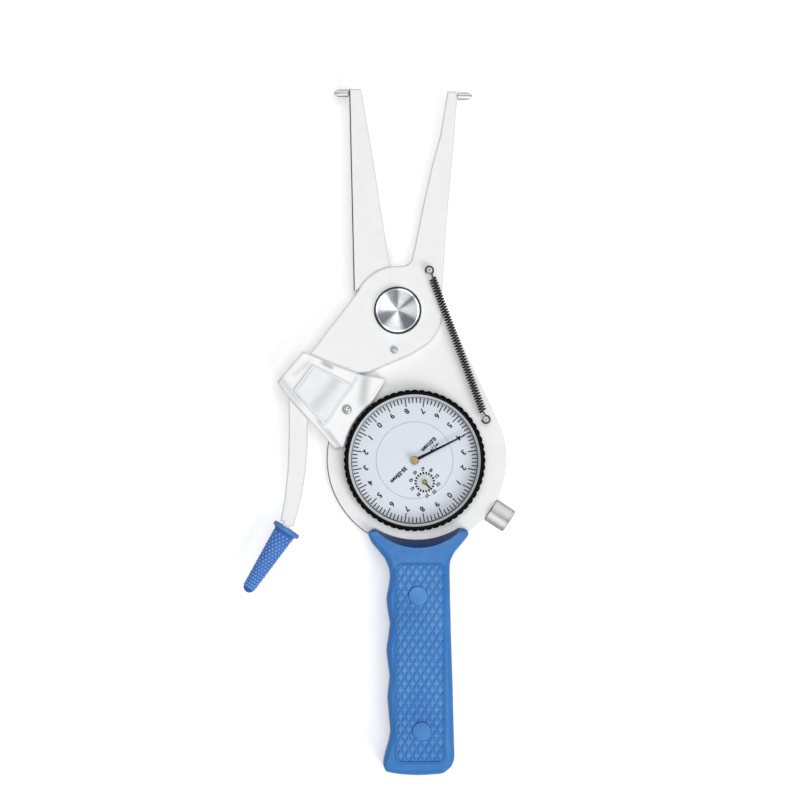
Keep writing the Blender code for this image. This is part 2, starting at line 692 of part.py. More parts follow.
def drive_slot_outline():
    """Return the arc slot that the drive screw runs in, closed by its two stops."""
    half = DRIVE_SCREW_RADIUS + FIT
    reach = DRIVE_SCREW_REACH
    start = polar((0, 0), reach, DRIVE_SCREW_ANGLE)
    end = polar((0, 0), reach, DRIVE_SCREW_ANGLE + ARM_SWING)
    outer = arc((0, 0), reach + half, DRIVE_SCREW_ANGLE, DRIVE_SCREW_ANGLE + ARM_SWING, EDGE_STEPS)
    inner = arc((0, 0), reach - half, DRIVE_SCREW_ANGLE + ARM_SWING, DRIVE_SCREW_ANGLE, EDGE_STEPS)
    heading = DRIVE_SCREW_ANGLE + ARM_SWING
    end_cap = arc(end, half, heading, heading + pi, EDGE_STEPS)[1:-1]
    heading = DRIVE_SCREW_ANGLE + pi
    start_cap = arc(start, half, heading, heading + pi, EDGE_STEPS)[1:-1]
    return outer + end_cap + inner + start_cap


def drive_screw_place():
    """Return the place of the screw that ties the arm to the sector."""
    return polar((0, 0), DRIVE_SCREW_REACH, DRIVE_SCREW_ANGLE)


def guard_screw_place():
    """Return the place of the lever guard's screw."""
    return polar(DIAL_CENTRE, BEZEL_RADIUS + GUARD_SCREW_GAP, GUARD_SCREW_ANGLE)


def arm_post_place():
    """Return the place of the spring post on the arm."""
    return (ARM_POST_SIDE, ARM_POST_RISE)


def frame_post_place():
    """Return the place of the spring post on the frame."""
    return (FRAME_POST_SIDE, -FRAME_POST_DROP)


def cover_screw_places():
    """Return the places of the rear cover's screws."""
    neck = [polar((0, 0), COVER_NECK_REACH, angle) for angle in COVER_NECK_ANGLES]
    reach = HOUSING_RADIUS - COVER_SCREW_INSET
    housing = [polar(HOUSING_CENTRE, reach, angle) for angle in COVER_HOUSING_ANGLES]
    return neck + housing


def leg_middle():
    """Return the height of the middle of both legs."""
    return (FRAME_REAR + ARM_FRONT) / 2


def fixed_pin_place():
    """Return the point where the fixed pin leaves its leg."""
    tip = fixed_leg_outline()[-1]
    return (tip[0], tip[1] - PIN_DROP)


def moving_pin_place():
    """Return the point where the moving pin leaves its leg."""
    tip = moving_leg_outline()[len(MOVING_LEG_OUTER_SHARES) - 1]
    return (tip[0], tip[1] - PIN_DROP)


def lay_sideways(obj, place, heading):
    """Lay an upright turned piece sideways out of a leg."""
    axis = Vector((cos(heading), sin(heading), 0))
    turn = axis.to_track_quat("Z", "Y").to_matrix().to_4x4()
    obj.matrix_world = Matrix.Translation((place[0], place[1], leg_middle())) @ turn
    return obj


def pin_socket(name, place, heading):
    """Return the cutter of a pin's seat in a leg."""
    seat = PIN_SEAT_RADIUS + FIT
    depth = -PIN_SEAT_DEPTH - FIT
    profile = [(0, depth), (seat, depth), (seat, OVERRUN), (0, OVERRUN)]
    return lay_sideways(turned(name, profile, TINY_STEPS), place, heading)


def build_contact_pin(name, place, heading):
    """Turn a steel contact pin with a rounded nose and a seat."""
    profile = [(0, -PIN_SEAT_DEPTH), (PIN_SEAT_RADIUS, -PIN_SEAT_DEPTH), (PIN_SEAT_RADIUS, FIT)]
    profile += [(PIN_RADIUS, FIT)]
    start = PIN_REACH - PIN_NOSE_LENGTH
    for share_out, share_along in PIN_NOSE_SHARES:
        profile.append((PIN_RADIUS * share_out, start + PIN_NOSE_LENGTH * share_along))
    pin = lay_sideways(turned(name, profile, SMALL_STEPS), place, heading)
    return finish(pin, "polished_steel")


def build_measuring_arm():
    """Model the moving leg, boss and thumb lever as one lapped plate."""
    outline = arc((0, 0), BOSS_RADIUS, BOSS_START_ANGLE, LAP_STEP_ANGLE / 3, EDGE_STEPS)
    outline += moving_leg_outline()
    outline += arc((0, 0), BOSS_RADIUS, ARM_FILLET_ANGLE, BOSS_END_ANGLE, EDGE_STEPS)
    outline += scaled(LEVER_LEFT_SHARES, LEVER_SIDE, LEVER_DROP)
    tongue = lever_tongue()
    outline += tongue
    outline += scaled(LEVER_RIGHT_SHARES, LEVER_SIDE, LEVER_DROP)
    arm = plate("measuring_arm", outline, FRAME_REAR, ARM_FRONT, (0, 0), PLATE_CHAMFER, PLATE_CHAMFER)
    lap = LAP_RADIUS + FIT
    step = LAP_STEP_ANGLE + FIT / LAP_RADIUS * LAP_STEP_FITS
    reach = LEVER_DROP * 2
    rear_cut = arc((0, 0), lap, step, ARM_ROOT_ANGLE, EDGE_STEPS)
    rear_cut += [(rear_cut[-1][0], reach), (-reach, reach), (-reach, -reach), (reach, -reach)]
    rear_cut += [polar((0, 0), reach, step)]
    cut(arm, plate("arm_rear_cut", rear_cut, FRAME_REAR - OVERRUN, ARM_REAR))
    recess = PIVOT_CAP_RADIUS + PIVOT_RECESS_WIDTH
    bore(arm, (0, 0), recess, ARM_FRONT - PIVOT_RECESS_DEPTH, ARM_FRONT + OVERRUN, ROUND_STEPS)
    bore(arm, (0, 0), SPINDLE_RADIUS + FIT, ARM_REAR - OVERRUN, ARM_FRONT + OVERRUN, ROUND_STEPS)
    bore(arm, drive_screw_place(), DRIVE_SCREW_RADIUS + FIT, ARM_REAR - OVERRUN, ARM_FRONT + OVERRUN)
    bore(arm, arm_post_place(), POST_RADIUS + FIT, ARM_REAR + ARM_THICKNESS / 3,
         ARM_FRONT + OVERRUN, TINY_STEPS)
    cut(arm, pin_socket("moving_pin_socket", moving_pin_place(), 0))
    return finish(arm, "white_paint")


def lever_end():
    """Return the middle of the lever's lower end."""
    left = scaled(LEVER_LEFT_SHARES[-1:], LEVER_SIDE, LEVER_DROP)[0]
    right = scaled(LEVER_RIGHT_SHARES[:1], LEVER_SIDE, LEVER_DROP)[0]
    return ((left[0] + right[0]) / 2, (left[1] + right[1]) / 2)


def lever_tongue():
    """Return the tongue at the lever's end that the grip is pushed over."""
    root = lever_end()
    left = GRIP_ANGLE - pi / 2
    half = TONGUE_WIDTH / 2
    narrow = half * TONGUE_END_SHARE
    end = polar(root, TONGUE_LENGTH, GRIP_ANGLE)
    return [polar(root, half, left), polar(end, narrow, left),
            polar(end, -narrow, left), polar(root, -half, left)]


def grip_frame(obj):
    """Lay an upright turned piece along the grip's axis."""
    root = polar(lever_end(), FIT + GRIP_FLANGE_THICKNESS / 4, GRIP_ANGLE)
    axis = Vector((cos(GRIP_ANGLE), sin(GRIP_ANGLE), 0))
    turn = axis.to_track_quat("Z", "Y").to_matrix().to_4x4()
    middle = (ARM_REAR + ARM_FRONT) / 2
    obj.matrix_world = Matrix.Translation((root[0], root[1], middle)) @ turn
    return obj


def build_thumb_grip():
    """Turn the rubber grip, with its flange, and hollow it for the tongue."""
    profile = [(0, 0)] + scaled(GRIP_FLANGE_SHARES, GRIP_FLANGE_RADIUS, GRIP_FLANGE_THICKNESS)
    profile += [(GRIP_RADIUS, GRIP_FLANGE_THICKNESS), (GRIP_RADIUS, GRIP_LENGTH * GRIP_STRAIGHT_SHARE)]
    start = GRIP_LENGTH - GRIP_END_RADIUS
    profile += arc((0, start), GRIP_END_RADIUS, 0, pi / 2, CORNER_STEPS)[:-1]
    profile += [(0, GRIP_LENGTH)]
    grip = grip_frame(turned("thumb_grip", profile, SMALL_STEPS))
    root = lever_end()
    left = GRIP_ANGLE - pi / 2
    half = TONGUE_WIDTH / 2 + FIT
    end = polar(root, TONGUE_LENGTH + FIT, GRIP_ANGLE)
    start_point = polar(root, -OVERRUN, GRIP_ANGLE)
    pocket = [polar(start_point, half, left), polar(end, half, left),
              polar(end, -half, left), polar(start_point, -half, left)]
    cut(grip, plate("grip_pocket", pocket, ARM_REAR - FIT, ARM_FRONT + FIT))
    return finish(grip, "blue_rubber")


def build_pivot():
    """Turn the bush, spindle, cap and drive screw on and beside the pivot axis."""
    inner = SPINDLE_RADIUS + FIT
    outer = inner + BUSH_WALL
    bush = turned("pivot_bush", [
        (inner, FRAME_REAR), (outer, FRAME_REAR), (outer, FRAME_FRONT), (inner, FRAME_FRONT),
    ], ROUND_STEPS)
    finish(bush, "bronze")
    recess_floor = ARM_FRONT - PIVOT_RECESS_DEPTH
    rear = COVER_FLOOR + FIT
    head = rear + SPINDLE_HEAD_THICKNESS / 2
    spindle = turned("pivot_spindle", [
        (0, rear), (SPINDLE_HEAD_RADIUS, rear), (SPINDLE_HEAD_RADIUS, head - FIT),
        (SPINDLE_RADIUS, head - FIT), (SPINDLE_RADIUS, recess_floor), (0, recess_floor),
    ], ROUND_STEPS)
    finish(spindle, "polished_steel")
    cap_rear = recess_floor + FIT
    cap_front = cap_rear + PIVOT_CAP_HEIGHT
    cap = turned("pivot_cap", [
        (0, cap_rear), (PIVOT_CAP_RADIUS, cap_rear), (PIVOT_CAP_RADIUS, cap_front - PLATE_CHAMFER),
        (PIVOT_CAP_RADIUS - PLATE_CHAMFER, cap_front), (0, cap_front),
    ], ROUND_STEPS)
    finish(cap, "brushed_steel")
    head_front = ARM_FRONT + FIT + DRIVE_SCREW_HEAD_HEIGHT
    screw = turned("drive_screw", [
        (0, rear), (DRIVE_SCREW_RADIUS, rear), (DRIVE_SCREW_RADIUS, ARM_FRONT + FIT),
        (DRIVE_SCREW_HEAD_RADIUS, ARM_FRONT + FIT),
        (DRIVE_SCREW_HEAD_RADIUS, head_front - SMALL_CHAMFER),
        (DRIVE_SCREW_HEAD_RADIUS - SMALL_CHAMFER, head_front), (0, head_front),
    ], SMALL_STEPS, drive_screw_place())
    return finish(screw, "brushed_steel")


def build_sector_lever():
    """Model the hooked lever whose inner toothed arc drives the counter pinion."""
    radius, module, heading = sector_numbers()
    pitch = tau / SECTOR_CIRCLE_TEETH
    root = radius + DEDENDUM_SHARE * module
    tip = radius - ADDENDUM_SHARE * module
    swing_teeth = int(ARM_SWING / pitch) + 1
    first = -swing_teeth - SECTOR_SPARE_TEETH
    web_left = heading + (first - SECTOR_TAIL_TEETH) * pitch
    web_right = heading + (first - SECTOR_HEEL_TEETH) * pitch
    rim = root + SECTOR_RIM
    end_angle = heading + (SECTOR_SPARE_TEETH + 1) * pitch
    outline = []
    for index in range(SECTOR_SPARE_TEETH, first - 1, -1):
        middle = heading + (index + 0.5) * pitch
        outline.append(polar((0, 0), root, middle + TOOTH_ROOT_SHARE * pitch))
        outline.append(polar((0, 0), tip, middle + TOOTH_TIP_SHARE * pitch))
        outline.append(polar((0, 0), tip, middle - TOOTH_TIP_SHARE * pitch))
        outline.append(polar((0, 0), root, middle - TOOTH_ROOT_SHARE * pitch))
    outline.append(polar((0, 0), root, web_right))
    outline.append(polar((0, 0), tip - SECTOR_RIM, web_right))
    neck = SECTOR_WEB_HALF_WIDTH
    spread = neck / DRIVE_SCREW_REACH
    outline.append(polar((0, 0), DRIVE_SCREW_REACH * SECTOR_WEB_REACH_SHARE,
                         SECTOR_WEB_ANGLE + spread / SECTOR_WEB_REACH_SHARE))
    outline.append(polar((0, 0), DRIVE_SCREW_REACH, SECTOR_WEB_ANGLE + spread * SECTOR_WEB_FLARE_SHARE))
    hub_gap = neck / SECTOR_HUB_RADIUS
    outline += arc((0, 0), SECTOR_HUB_RADIUS, SECTOR_WEB_ANGLE + hub_gap,
                   SECTOR_WEB_ANGLE + tau - hub_gap, HUB_STEPS)
    outline.append(polar((0, 0), DRIVE_SCREW_REACH, SECTOR_WEB_ANGLE - spread))
    outline.append(polar((0, 0), tip - SECTOR_RIM, web_left + pitch))
    outline += arc((0, 0), rim, web_left, end_angle, HUB_STEPS)
    outline.append(polar((0, 0), root, end_angle))
    rear = sector_rear()
    lever = plate("sector_lever", outline, rear, rear + SECTOR_THICKNESS)
    bore(lever, (0, 0), SPINDLE_RADIUS + FIT, rear - OVERRUN, rear + SECTOR_THICKNESS + OVERRUN,
         ROUND_STEPS)
    bore(lever, drive_screw_place(), DRIVE_SCREW_RADIUS + FIT, rear - OVERRUN,
         rear + SECTOR_THICKNESS + OVERRUN)
    return finish(lever, "brushed_steel")


def sector_rear():
    """Return the height of the sector lever's rear face, on the spindle's head."""
    return COVER_FLOOR + FIT + SPINDLE_HEAD_THICKNESS / 2


def wheel_rear():
    """Return the height of the counter wheel's rear face."""
    return BRIDGE_REAR + BRIDGE_THICKNESS + FIT * 2


def build_counter_arbor():
    """Model the counter arbor with its pinion and its large wheel."""
    centre = counter_centre()
    module = sector_numbers()[1]
    heading = sector_numbers()[2]
    pinion_front = sector_rear() + SECTOR_THICKNESS + FIT
    arbor = plate("counter_arbor", gear_outline(centre, COUNTER_PINION_TEETH, module, heading),
                  COVER_FLOOR + FIT, pinion_front, centre)
    shaft = rod("counter_shaft", centre, ARBOR_RADIUS, pinion_front - SECTOR_THICKNESS / 2,
                dial_top() + FIT, SMALL_STEPS)
    join(arbor, shaft)
    toward = COUNTER_ANGLE + pi
    wheel = plate("counter_wheel",
                  gear_outline(centre, COUNTER_WHEEL_TEETH, wheel_module(), toward),
                  wheel_rear(), wheel_rear() + WHEEL_THICKNESS, centre)
    join(arbor, wheel)
    return finish(arbor, "brass")


def build_centre_arbor():
    """Model the pointer's arbor with its small pinion."""
    tooth = COUNTER_ANGLE + pi / CENTRE_PINION_TEETH
    rear = wheel_rear() - FIT / 2
    front = wheel_rear() + WHEEL_THICKNESS + FIT / 2
    arbor = plate("centre_arbor",
                  gear_outline(DIAL_CENTRE, CENTRE_PINION_TEETH, wheel_module(), tooth),
                  rear, front, DIAL_CENTRE)
    shaft = rod("centre_shaft", DIAL_CENTRE, CENTRE_ARBOR_RADIUS, BRIDGE_REAR - FIT,
                pointer_rear() - FIT, SMALL_STEPS)
    join(arbor, shaft)
    return finish(arbor, "polished_steel")


def pointer_rear():
    """Return the height of the pointer's underside."""
    return dial_top() + POINTER_LIFT


def build_movement_plates():
    """Model the plate and bridge that carry the arbors, with their pillars."""
    plate_rear = seat_top() + FIT
    plate_front = plate_rear + MOVEMENT_PLATE_THICKNESS
    radius = BEZEL_SKIRT_RADIUS - BEZEL_SKIRT_WALL - FIT
    main = rod("movement_plate", DIAL_CENTRE, radius, plate_rear, plate_front, ROUND_STEPS)
    bore(main, DIAL_CENTRE, CENTRE_ARBOR_RADIUS + FIT, plate_rear - OVERRUN, plate_front + OVERRUN)
    bore(main, counter_centre(), ARBOR_RADIUS + FIT, plate_rear - OVERRUN, plate_front + OVERRUN)
    finish(main, "brass")
    places = [polar(DIAL_CENTRE, reach, angle) for reach, angle in PILLAR_PLACES]
    outline = []
    pad = PILLAR_RADIUS * BRIDGE_PAD_SHARE
    for index, place in enumerate(places):
        before = places[index - 1]
        after = places[(index + 1) % len(places)]
        start = atan2(place[1] - before[1], place[0] - before[0]) - pi / 2
        end = atan2(after[1] - place[1], after[0] - place[0]) - pi / 2
        if end < start:
            end += tau
        outline += arc(place, pad, start, end, CORNER_STEPS)
    bridge_front = BRIDGE_REAR + BRIDGE_THICKNESS
    bridge = plate("movement_bridge", outline, BRIDGE_REAR, bridge_front)
    bore(bridge, DIAL_CENTRE, CENTRE_ARBOR_RADIUS + FIT, BRIDGE_REAR - OVERRUN, bridge_front + OVERRUN)
    bore(bridge, counter_centre(), ARBOR_RADIUS + FIT, BRIDGE_REAR - OVERRUN, bridge_front + OVERRUN)
    finish(bridge, "brass")
    for index, place in enumerate(places):
        pillar = rod("movement_pillar_%d" % (index + 1), place, PILLAR_RADIUS,
                     bridge_front + FIT, plate_rear - FIT, TINY_STEPS)
        finish(pillar, "brass")


def build_dial():
    """Model the fixed dial centre and the graduated ring that turns round it."""
    rear = dial_rear()
    disc = rod("dial_centre_disc", DIAL_CENTRE, DIAL_INNER_RADIUS, rear, dial_top(), DIAL_STEPS)
    foot_rear = seat_top() + FIT + MOVEMENT_PLATE_THICKNESS + FIT
    for index, angle in enumerate(DIAL_FOOT_ANGLES):
        place = polar(DIAL_CENTRE, DIAL_INNER_RADIUS * DIAL_FOOT_SHARE, angle)
        join(disc, rod("dial_foot_%d" % index, place, DIAL_FOOT_RADIUS, foot_rear,
                       rear + DIAL_THICKNESS / 2, TINY_STEPS))
    bore(disc, DIAL_CENTRE, CENTRE_ARBOR_RADIUS + FIT * 2, rear - OVERRUN, dial_top() + OVERRUN)
    bore(disc, counter_centre(), ARBOR_RADIUS + FIT, rear - OVERRUN, dial_top() + OVERRUN)
    finish(disc, "dial_enamel")
    inner = DIAL_INNER_RADIUS + FIT
    outer = BEZEL_SKIRT_RADIUS - BEZEL_LEDGE - FIT
    ring = turned("dial_ring", [
        (inner, rear), (outer, rear), (outer, dial_top()), (inner, dial_top()),
    ], DIAL_STEPS, DIAL_CENTRE)
    return finish(ring, "dial_enamel")


def build_bezel():
    """Model the knurled bezel, its sloped liner and the crystal."""
    points = []
    count = BEZEL_TEETH * BEZEL_POINTS_PER_TOOTH
    for index in range(count):
        angle = tau * index / count
        wave = cos(tau * index / BEZEL_POINTS_PER_TOOTH)
        points.append(polar(DIAL_CENTRE, BEZEL_RADIUS + wave * BEZEL_TOOTH_HEIGHT / 2, angle))
    bezel = plate("bezel", points, rim_rear(), rim_front(), DIAL_CENTRE, PLATE_CHAMFER)
    skirt_rear = seat_top() + FIT
    join(bezel, rod("bezel_skirt", DIAL_CENTRE, BEZEL_SKIRT_RADIUS, skirt_rear,
                    rim_rear() + BEZEL_RIM_HEIGHT / 3, DIAL_STEPS))
    ring_step = dial_rear() - FIT
    crystal_step = rim_rear() + CRYSTAL_LEDGE
    inner = BEZEL_SKIRT_RADIUS - BEZEL_SKIRT_WALL
    ledge = BEZEL_SKIRT_RADIUS - BEZEL_LEDGE
    cut(bezel, turned("bezel_bore", [
        (0, skirt_rear - OVERRUN), (inner, skirt_rear - OVERRUN), (inner, ring_step),
        (ledge, ring_step), (ledge, crystal_step), (BEZEL_SKIRT_RADIUS, crystal_step),
        (BEZEL_SKIRT_RADIUS, rim_front() + OVERRUN), (0, rim_front() + OVERRUN),
    ], DIAL_STEPS, DIAL_CENTRE))
    finish(bezel, "black_paint")
    glass_radius = BEZEL_SKIRT_RADIUS - FIT
    glass_rear = crystal_step + FIT
    glass_front = glass_rear + CRYSTAL_THICKNESS
    crystal = rod("crystal", DIAL_CENTRE, glass_radius, glass_rear, glass_front, DIAL_STEPS,
                  SMALL_CHAMFER)
    finish(crystal, "crystal")
    liner_rear = glass_front + FIT
    liner_front = liner_rear + LINER_HEIGHT
    liner = turned("bezel_liner", [
        (glass_radius - LINER_WIDTH, liner_rear), (glass_radius, liner_rear),
        (glass_radius, liner_front), (glass_radius - SMALL_CHAMFER, liner_front),
    ], DIAL_STEPS, DIAL_CENTRE)
    return finish(liner, "grey_liner")


def build_hands():
    """Model the pointer, its hub and the small counter hand."""
    rear = pointer_rear()
    across = POINTER_ANGLE + pi / 2
    root = POINTER_ROOT_WIDTH / 2
    tip = POINTER_TIP_WIDTH / 2
    barb = POINTER_BARB_WIDTH / 2
    barb_start = polar(DIAL_CENTRE, POINTER_LENGTH * POINTER_BARB_SHARES[0], POINTER_ANGLE)
    barb_end = polar(DIAL_CENTRE, POINTER_LENGTH * POINTER_BARB_SHARES[1], POINTER_ANGLE)
    end = polar(DIAL_CENTRE, POINTER_LENGTH, POINTER_ANGLE)
    hub = POINTER_HUB_RADIUS
    gap = POINTER_ROOT_WIDTH / 2 / hub
    outline = [polar(end, -tip, across), polar(end, tip, across)]
    outline += [polar(barb_end, tip, across), polar(barb_start, barb, across)]
    outline += [polar(barb_start, tip, across)]
    outline += arc(DIAL_CENTRE, hub, POINTER_ANGLE + gap, POINTER_ANGLE + tau - gap, HUB_STEPS)
    outline += [polar(barb_start, -tip, across), polar(barb_start, -barb, across)]
    outline += [polar(barb_end, -tip, across)]
    pointer = plate("pointer", outline, rear, rear + POINTER_THICKNESS, DIAL_CENTRE)
    finish(pointer, "black_paint")
    cap_rear = rear + POINTER_THICKNESS
    cap = rod("pointer_hub", DIAL_CENTRE, hub, cap_rear + FIT,
              cap_rear + FIT + POINTER_HUB_HEIGHT, SMALL_STEPS, SMALL_CHAMFER)
    finish(cap, "brass")
    centre = counter_centre()
    across = COUNTER_HAND_ANGLE + pi / 2
    end = polar(centre, COUNTER_HAND_LENGTH, COUNTER_HAND_ANGLE)
    half = COUNTER_HAND_WIDTH / 2
    gap = half / COUNTER_HUB_RADIUS
    outline = [polar(end, -half, across), polar(end, half, across)]
    outline += arc(centre, COUNTER_HUB_RADIUS, COUNTER_HAND_ANGLE + gap,
                   COUNTER_HAND_ANGLE + tau - gap, HUB_STEPS)
    hand_rear = dial_top() + FIT * 2
    hand = plate("counter_hand", outline, hand_rear, hand_rear + COUNTER_HAND_THICKNESS, centre)
    return finish(hand, "black_paint")


def lever_edge_closed(shares):
    """Return lever edge points where they stand with the legs closed."""
    return [swung(point, ARM_SWING) for point in scaled(shares, LEVER_SIDE, LEVER_DROP)]


def guard_outline():
    """Return the outline of the lever guard's top plate."""
    outline = scaled(reversed(GUARD_UPPER_SHARES), GUARD_SIDE, GUARD_DROP)
    outline += list(scaled(reversed(GUARD_LOWER_SHARES), GUARD_SIDE, GUARD_DROP))
    around = BEZEL_RADIUS + BEZEL_TOOTH_HEIGHT / 2 + FIT
    bite = arc(DIAL_CENTRE, around, GUARD_ARC_ANGLES[1], GUARD_ARC_ANGLES[0], EDGE_STEPS)
    return outline + bite


def guard_foot_outline():
    """Return the guard's foot, between the bezel and the lever's closed edge."""
    around = BEZEL_RADIUS + BEZEL_TOOTH_HEIGHT / 2 + FIT
    bite = arc(DIAL_CENTRE, around, GUARD_FOOT_ARC_ANGLES[1], GUARD_FOOT_ARC_ANGLES[0], EDGE_STEPS)
    edge = lever_edge_closed(GUARD_FOOT_EDGE_SHARES)
    clear = []
    for point in edge:
        toward = (Vector(DIAL_CENTRE) - Vector(point)).normalized()
        clear.append(tuple(Vector(point) + toward * SWEEP_CLEARANCE * 2))
    return bite + list(reversed(clear))


def build_lever_guard():
    """Model the bent guard over the lever, with its foot, side wall and panel."""
    foot_rear = FRAME_FRONT + FIT
    top_rear = ARM_FRONT + SWEEP_CLEARANCE
    top_front = top_rear + GUARD_THICKNESS
    guard = plate("lever_guard", guard_outline(), top_rear, top_front, (0, 0), GUARD_SLOPE)
    foot = plate("guard_foot", guard_foot_outline(), foot_rear, top_rear + GUARD_THICKNESS / 2)
    join(guard, foot)
    corner, upper = scaled(GUARD_UPPER_SHARES[:2], GUARD_SIDE, GUARD_DROP)
    along = (Vector(upper) - Vector(corner)).normalized()
    inward = Vector((along.y, -along.x))
    start = Vector(corner) + along * GUARD_WALL + inward * SMALL_CHAMFER
    end = Vector(upper) - along * GUARD_WALL + inward * SMALL_CHAMFER
    wall = [tuple(start), tuple(start + inward * GUARD_WALL),
            tuple(end + inward * GUARD_WALL), tuple(end)]
    join(guard, plate("guard_wall", wall, FRAME_REAR, top_rear + GUARD_THICKNESS / 2))
    bore(guard, guard_screw_place(), GUARD_SCREW_RADIUS + FIT, foot_rear - OVERRUN,
         top_front + OVERRUN)
    finish(guard, "silver_paint")
    panel_rear = top_front + FIT
    panel = plate("guard_panel", list(reversed(scaled(GUARD_PANEL_SHARES, GUARD_SIDE, GUARD_DROP))),
                  panel_rear, panel_rear + GUARD_PANEL_THICKNESS, (0, 0), SMALL_CHAMFER)
    finish(panel, "silver_paint")
    head_rear = top_front + FIT
    head_front = head_rear + GUARD_SCREW_HEAD_HEIGHT
    screw = turned("guard_screw", [
        (0, FRAME_REAR + FRAME_THICKNESS / 3 + FIT),
        (GUARD_SCREW_RADIUS, FRAME_REAR + FRAME_THICKNESS / 3 + FIT),
        (GUARD_SCREW_RADIUS, head_rear), (GUARD_SCREW_HEAD_RADIUS, head_rear),
        (GUARD_SCREW_HEAD_RADIUS, head_front - SMALL_CHAMFER),
        (GUARD_SCREW_HEAD_RADIUS - SMALL_CHAMFER * 2, head_front), (0, head_front),
    ], SMALL_STEPS, guard_screw_place())
    return finish(screw, "brushed_steel")


def build_clamp_knob():
    """Turn the radial knob whose shank clamps the bezel's skirt."""
    skirt = BEZEL_SKIRT_RADIUS + CLAMP_RELEASE
    start = HOUSING_RADIUS + HOUSING_SHIFT_X + FIT
    end = start + CLAMP_KNOB_LENGTH
    knob = turned("clamp_knob", [
        (0, skirt), (CLAMP_SHANK_RADIUS, skirt), (CLAMP_SHANK_RADIUS, start),
        (CLAMP_KNOB_RADIUS - CLAMP_CHAMFER, start), (CLAMP_KNOB_RADIUS, start + CLAMP_CHAMFER),
        (CLAMP_KNOB_RADIUS, end - CLAMP_CHAMFER), (CLAMP_KNOB_RADIUS - CLAMP_CHAMFER, end), (0, end),
    ], ROUND_STEPS)
    return finish(lay_radial(knob, CLAMP_ANGLE, CLAMP_HEIGHT), "brushed_steel")


def build_rear_cover():
    """Model the dished rear cover with its screw pillars and four screws."""
    outline = body_outline(0)
    cover = plate("rear_cover", outline, 0, COVER_TOP, (0, 0), 0, PLATE_CHAMFER)
    hollow = plate("cover_hollow", body_outline(COVER_WALL), COVER_FLOOR, COVER_TOP + OVERRUN)
    for index, place in enumerate(cover_screw_places()):
        cut(hollow, rod("cover_boss_%d" % index, place, COVER_BOSS_RADIUS, 0,
                        COVER_TOP + OVERRUN * 2, SMALL_STEPS))
    cut(cover, hollow)
    relief = turned("cover_clamp_relief", [
        (0, BEZEL_SKIRT_RADIUS), (CLAMP_BOSS_RADIUS + FIT, BEZEL_SKIRT_RADIUS),
        (CLAMP_BOSS_RADIUS + FIT, HOUSING_RADIUS + OVERRUN), (0, HOUSING_RADIUS + OVERRUN),
    ], SMALL_STEPS)
    cut(cover, lay_radial(relief, CLAMP_ANGLE, CLAMP_HEIGHT))
    recess = SMALL_CHAMFER + COVER_SCREW_HEAD_HEIGHT + FIT
    for index, place in enumerate(cover_screw_places()):
        stepped_bore(cover, place, COVER_SCREW_HEAD_RADIUS + FIT, COVER_SCREW_RADIUS + FIT,
                     -OVERRUN, recess, COVER_TOP + OVERRUN)
        head_front = recess - FIT
        screw = turned("rear_cover_screw_%d" % (index + 1), [
            (0, SMALL_CHAMFER), (COVER_SCREW_HEAD_RADIUS, SMALL_CHAMFER),
            (COVER_SCREW_HEAD_RADIUS, head_front), (COVER_SCREW_RADIUS, head_front),
            (COVER_SCREW_RADIUS, FRAME_FRONT - FRAME_THICKNESS / 2),
            (0, FRAME_FRONT - FRAME_THICKNESS / 2),
        ], TINY_STEPS, place)
        finish(screw, "brushed_steel")
    return finish(cover, "white_paint")


def handle_outline():
    """Return the handle's outline with its finger crests, counter-clockwise."""
    shares = HANDLE_LEFT_SHARES + HANDLE_END_SHARES + HANDLE_RIGHT_SHARES
    origin = (HANDLE_AXIS, -HANDLE_TOP)
    return [(origin[0] + x * HANDLE_HALF_WIDTH, origin[1] - y * HANDLE_LENGTH) for x, y in shares]


def handle_shell(name, split, face):
    """Loft one half of the handle from its split to its rounded face."""
    outline = handle_outline()
    depth = face - split
    rings = []
    for share_in, share_back in HANDLE_SECTION_SHARES[::-1]:
        level = face - (share_back * HANDLE_ROUNDING if depth > 0 else -share_back * HANDLE_ROUNDING)
        rings.append((inset(outline, share_in * HANDLE_ROUNDING_WIDTH), level))
    rings = list(reversed(rings))
    if depth > 0:
        return lofted(name, [(outline, split)] + rings)
    return lofted(name, list(reversed(rings)) + [(outline, split)])


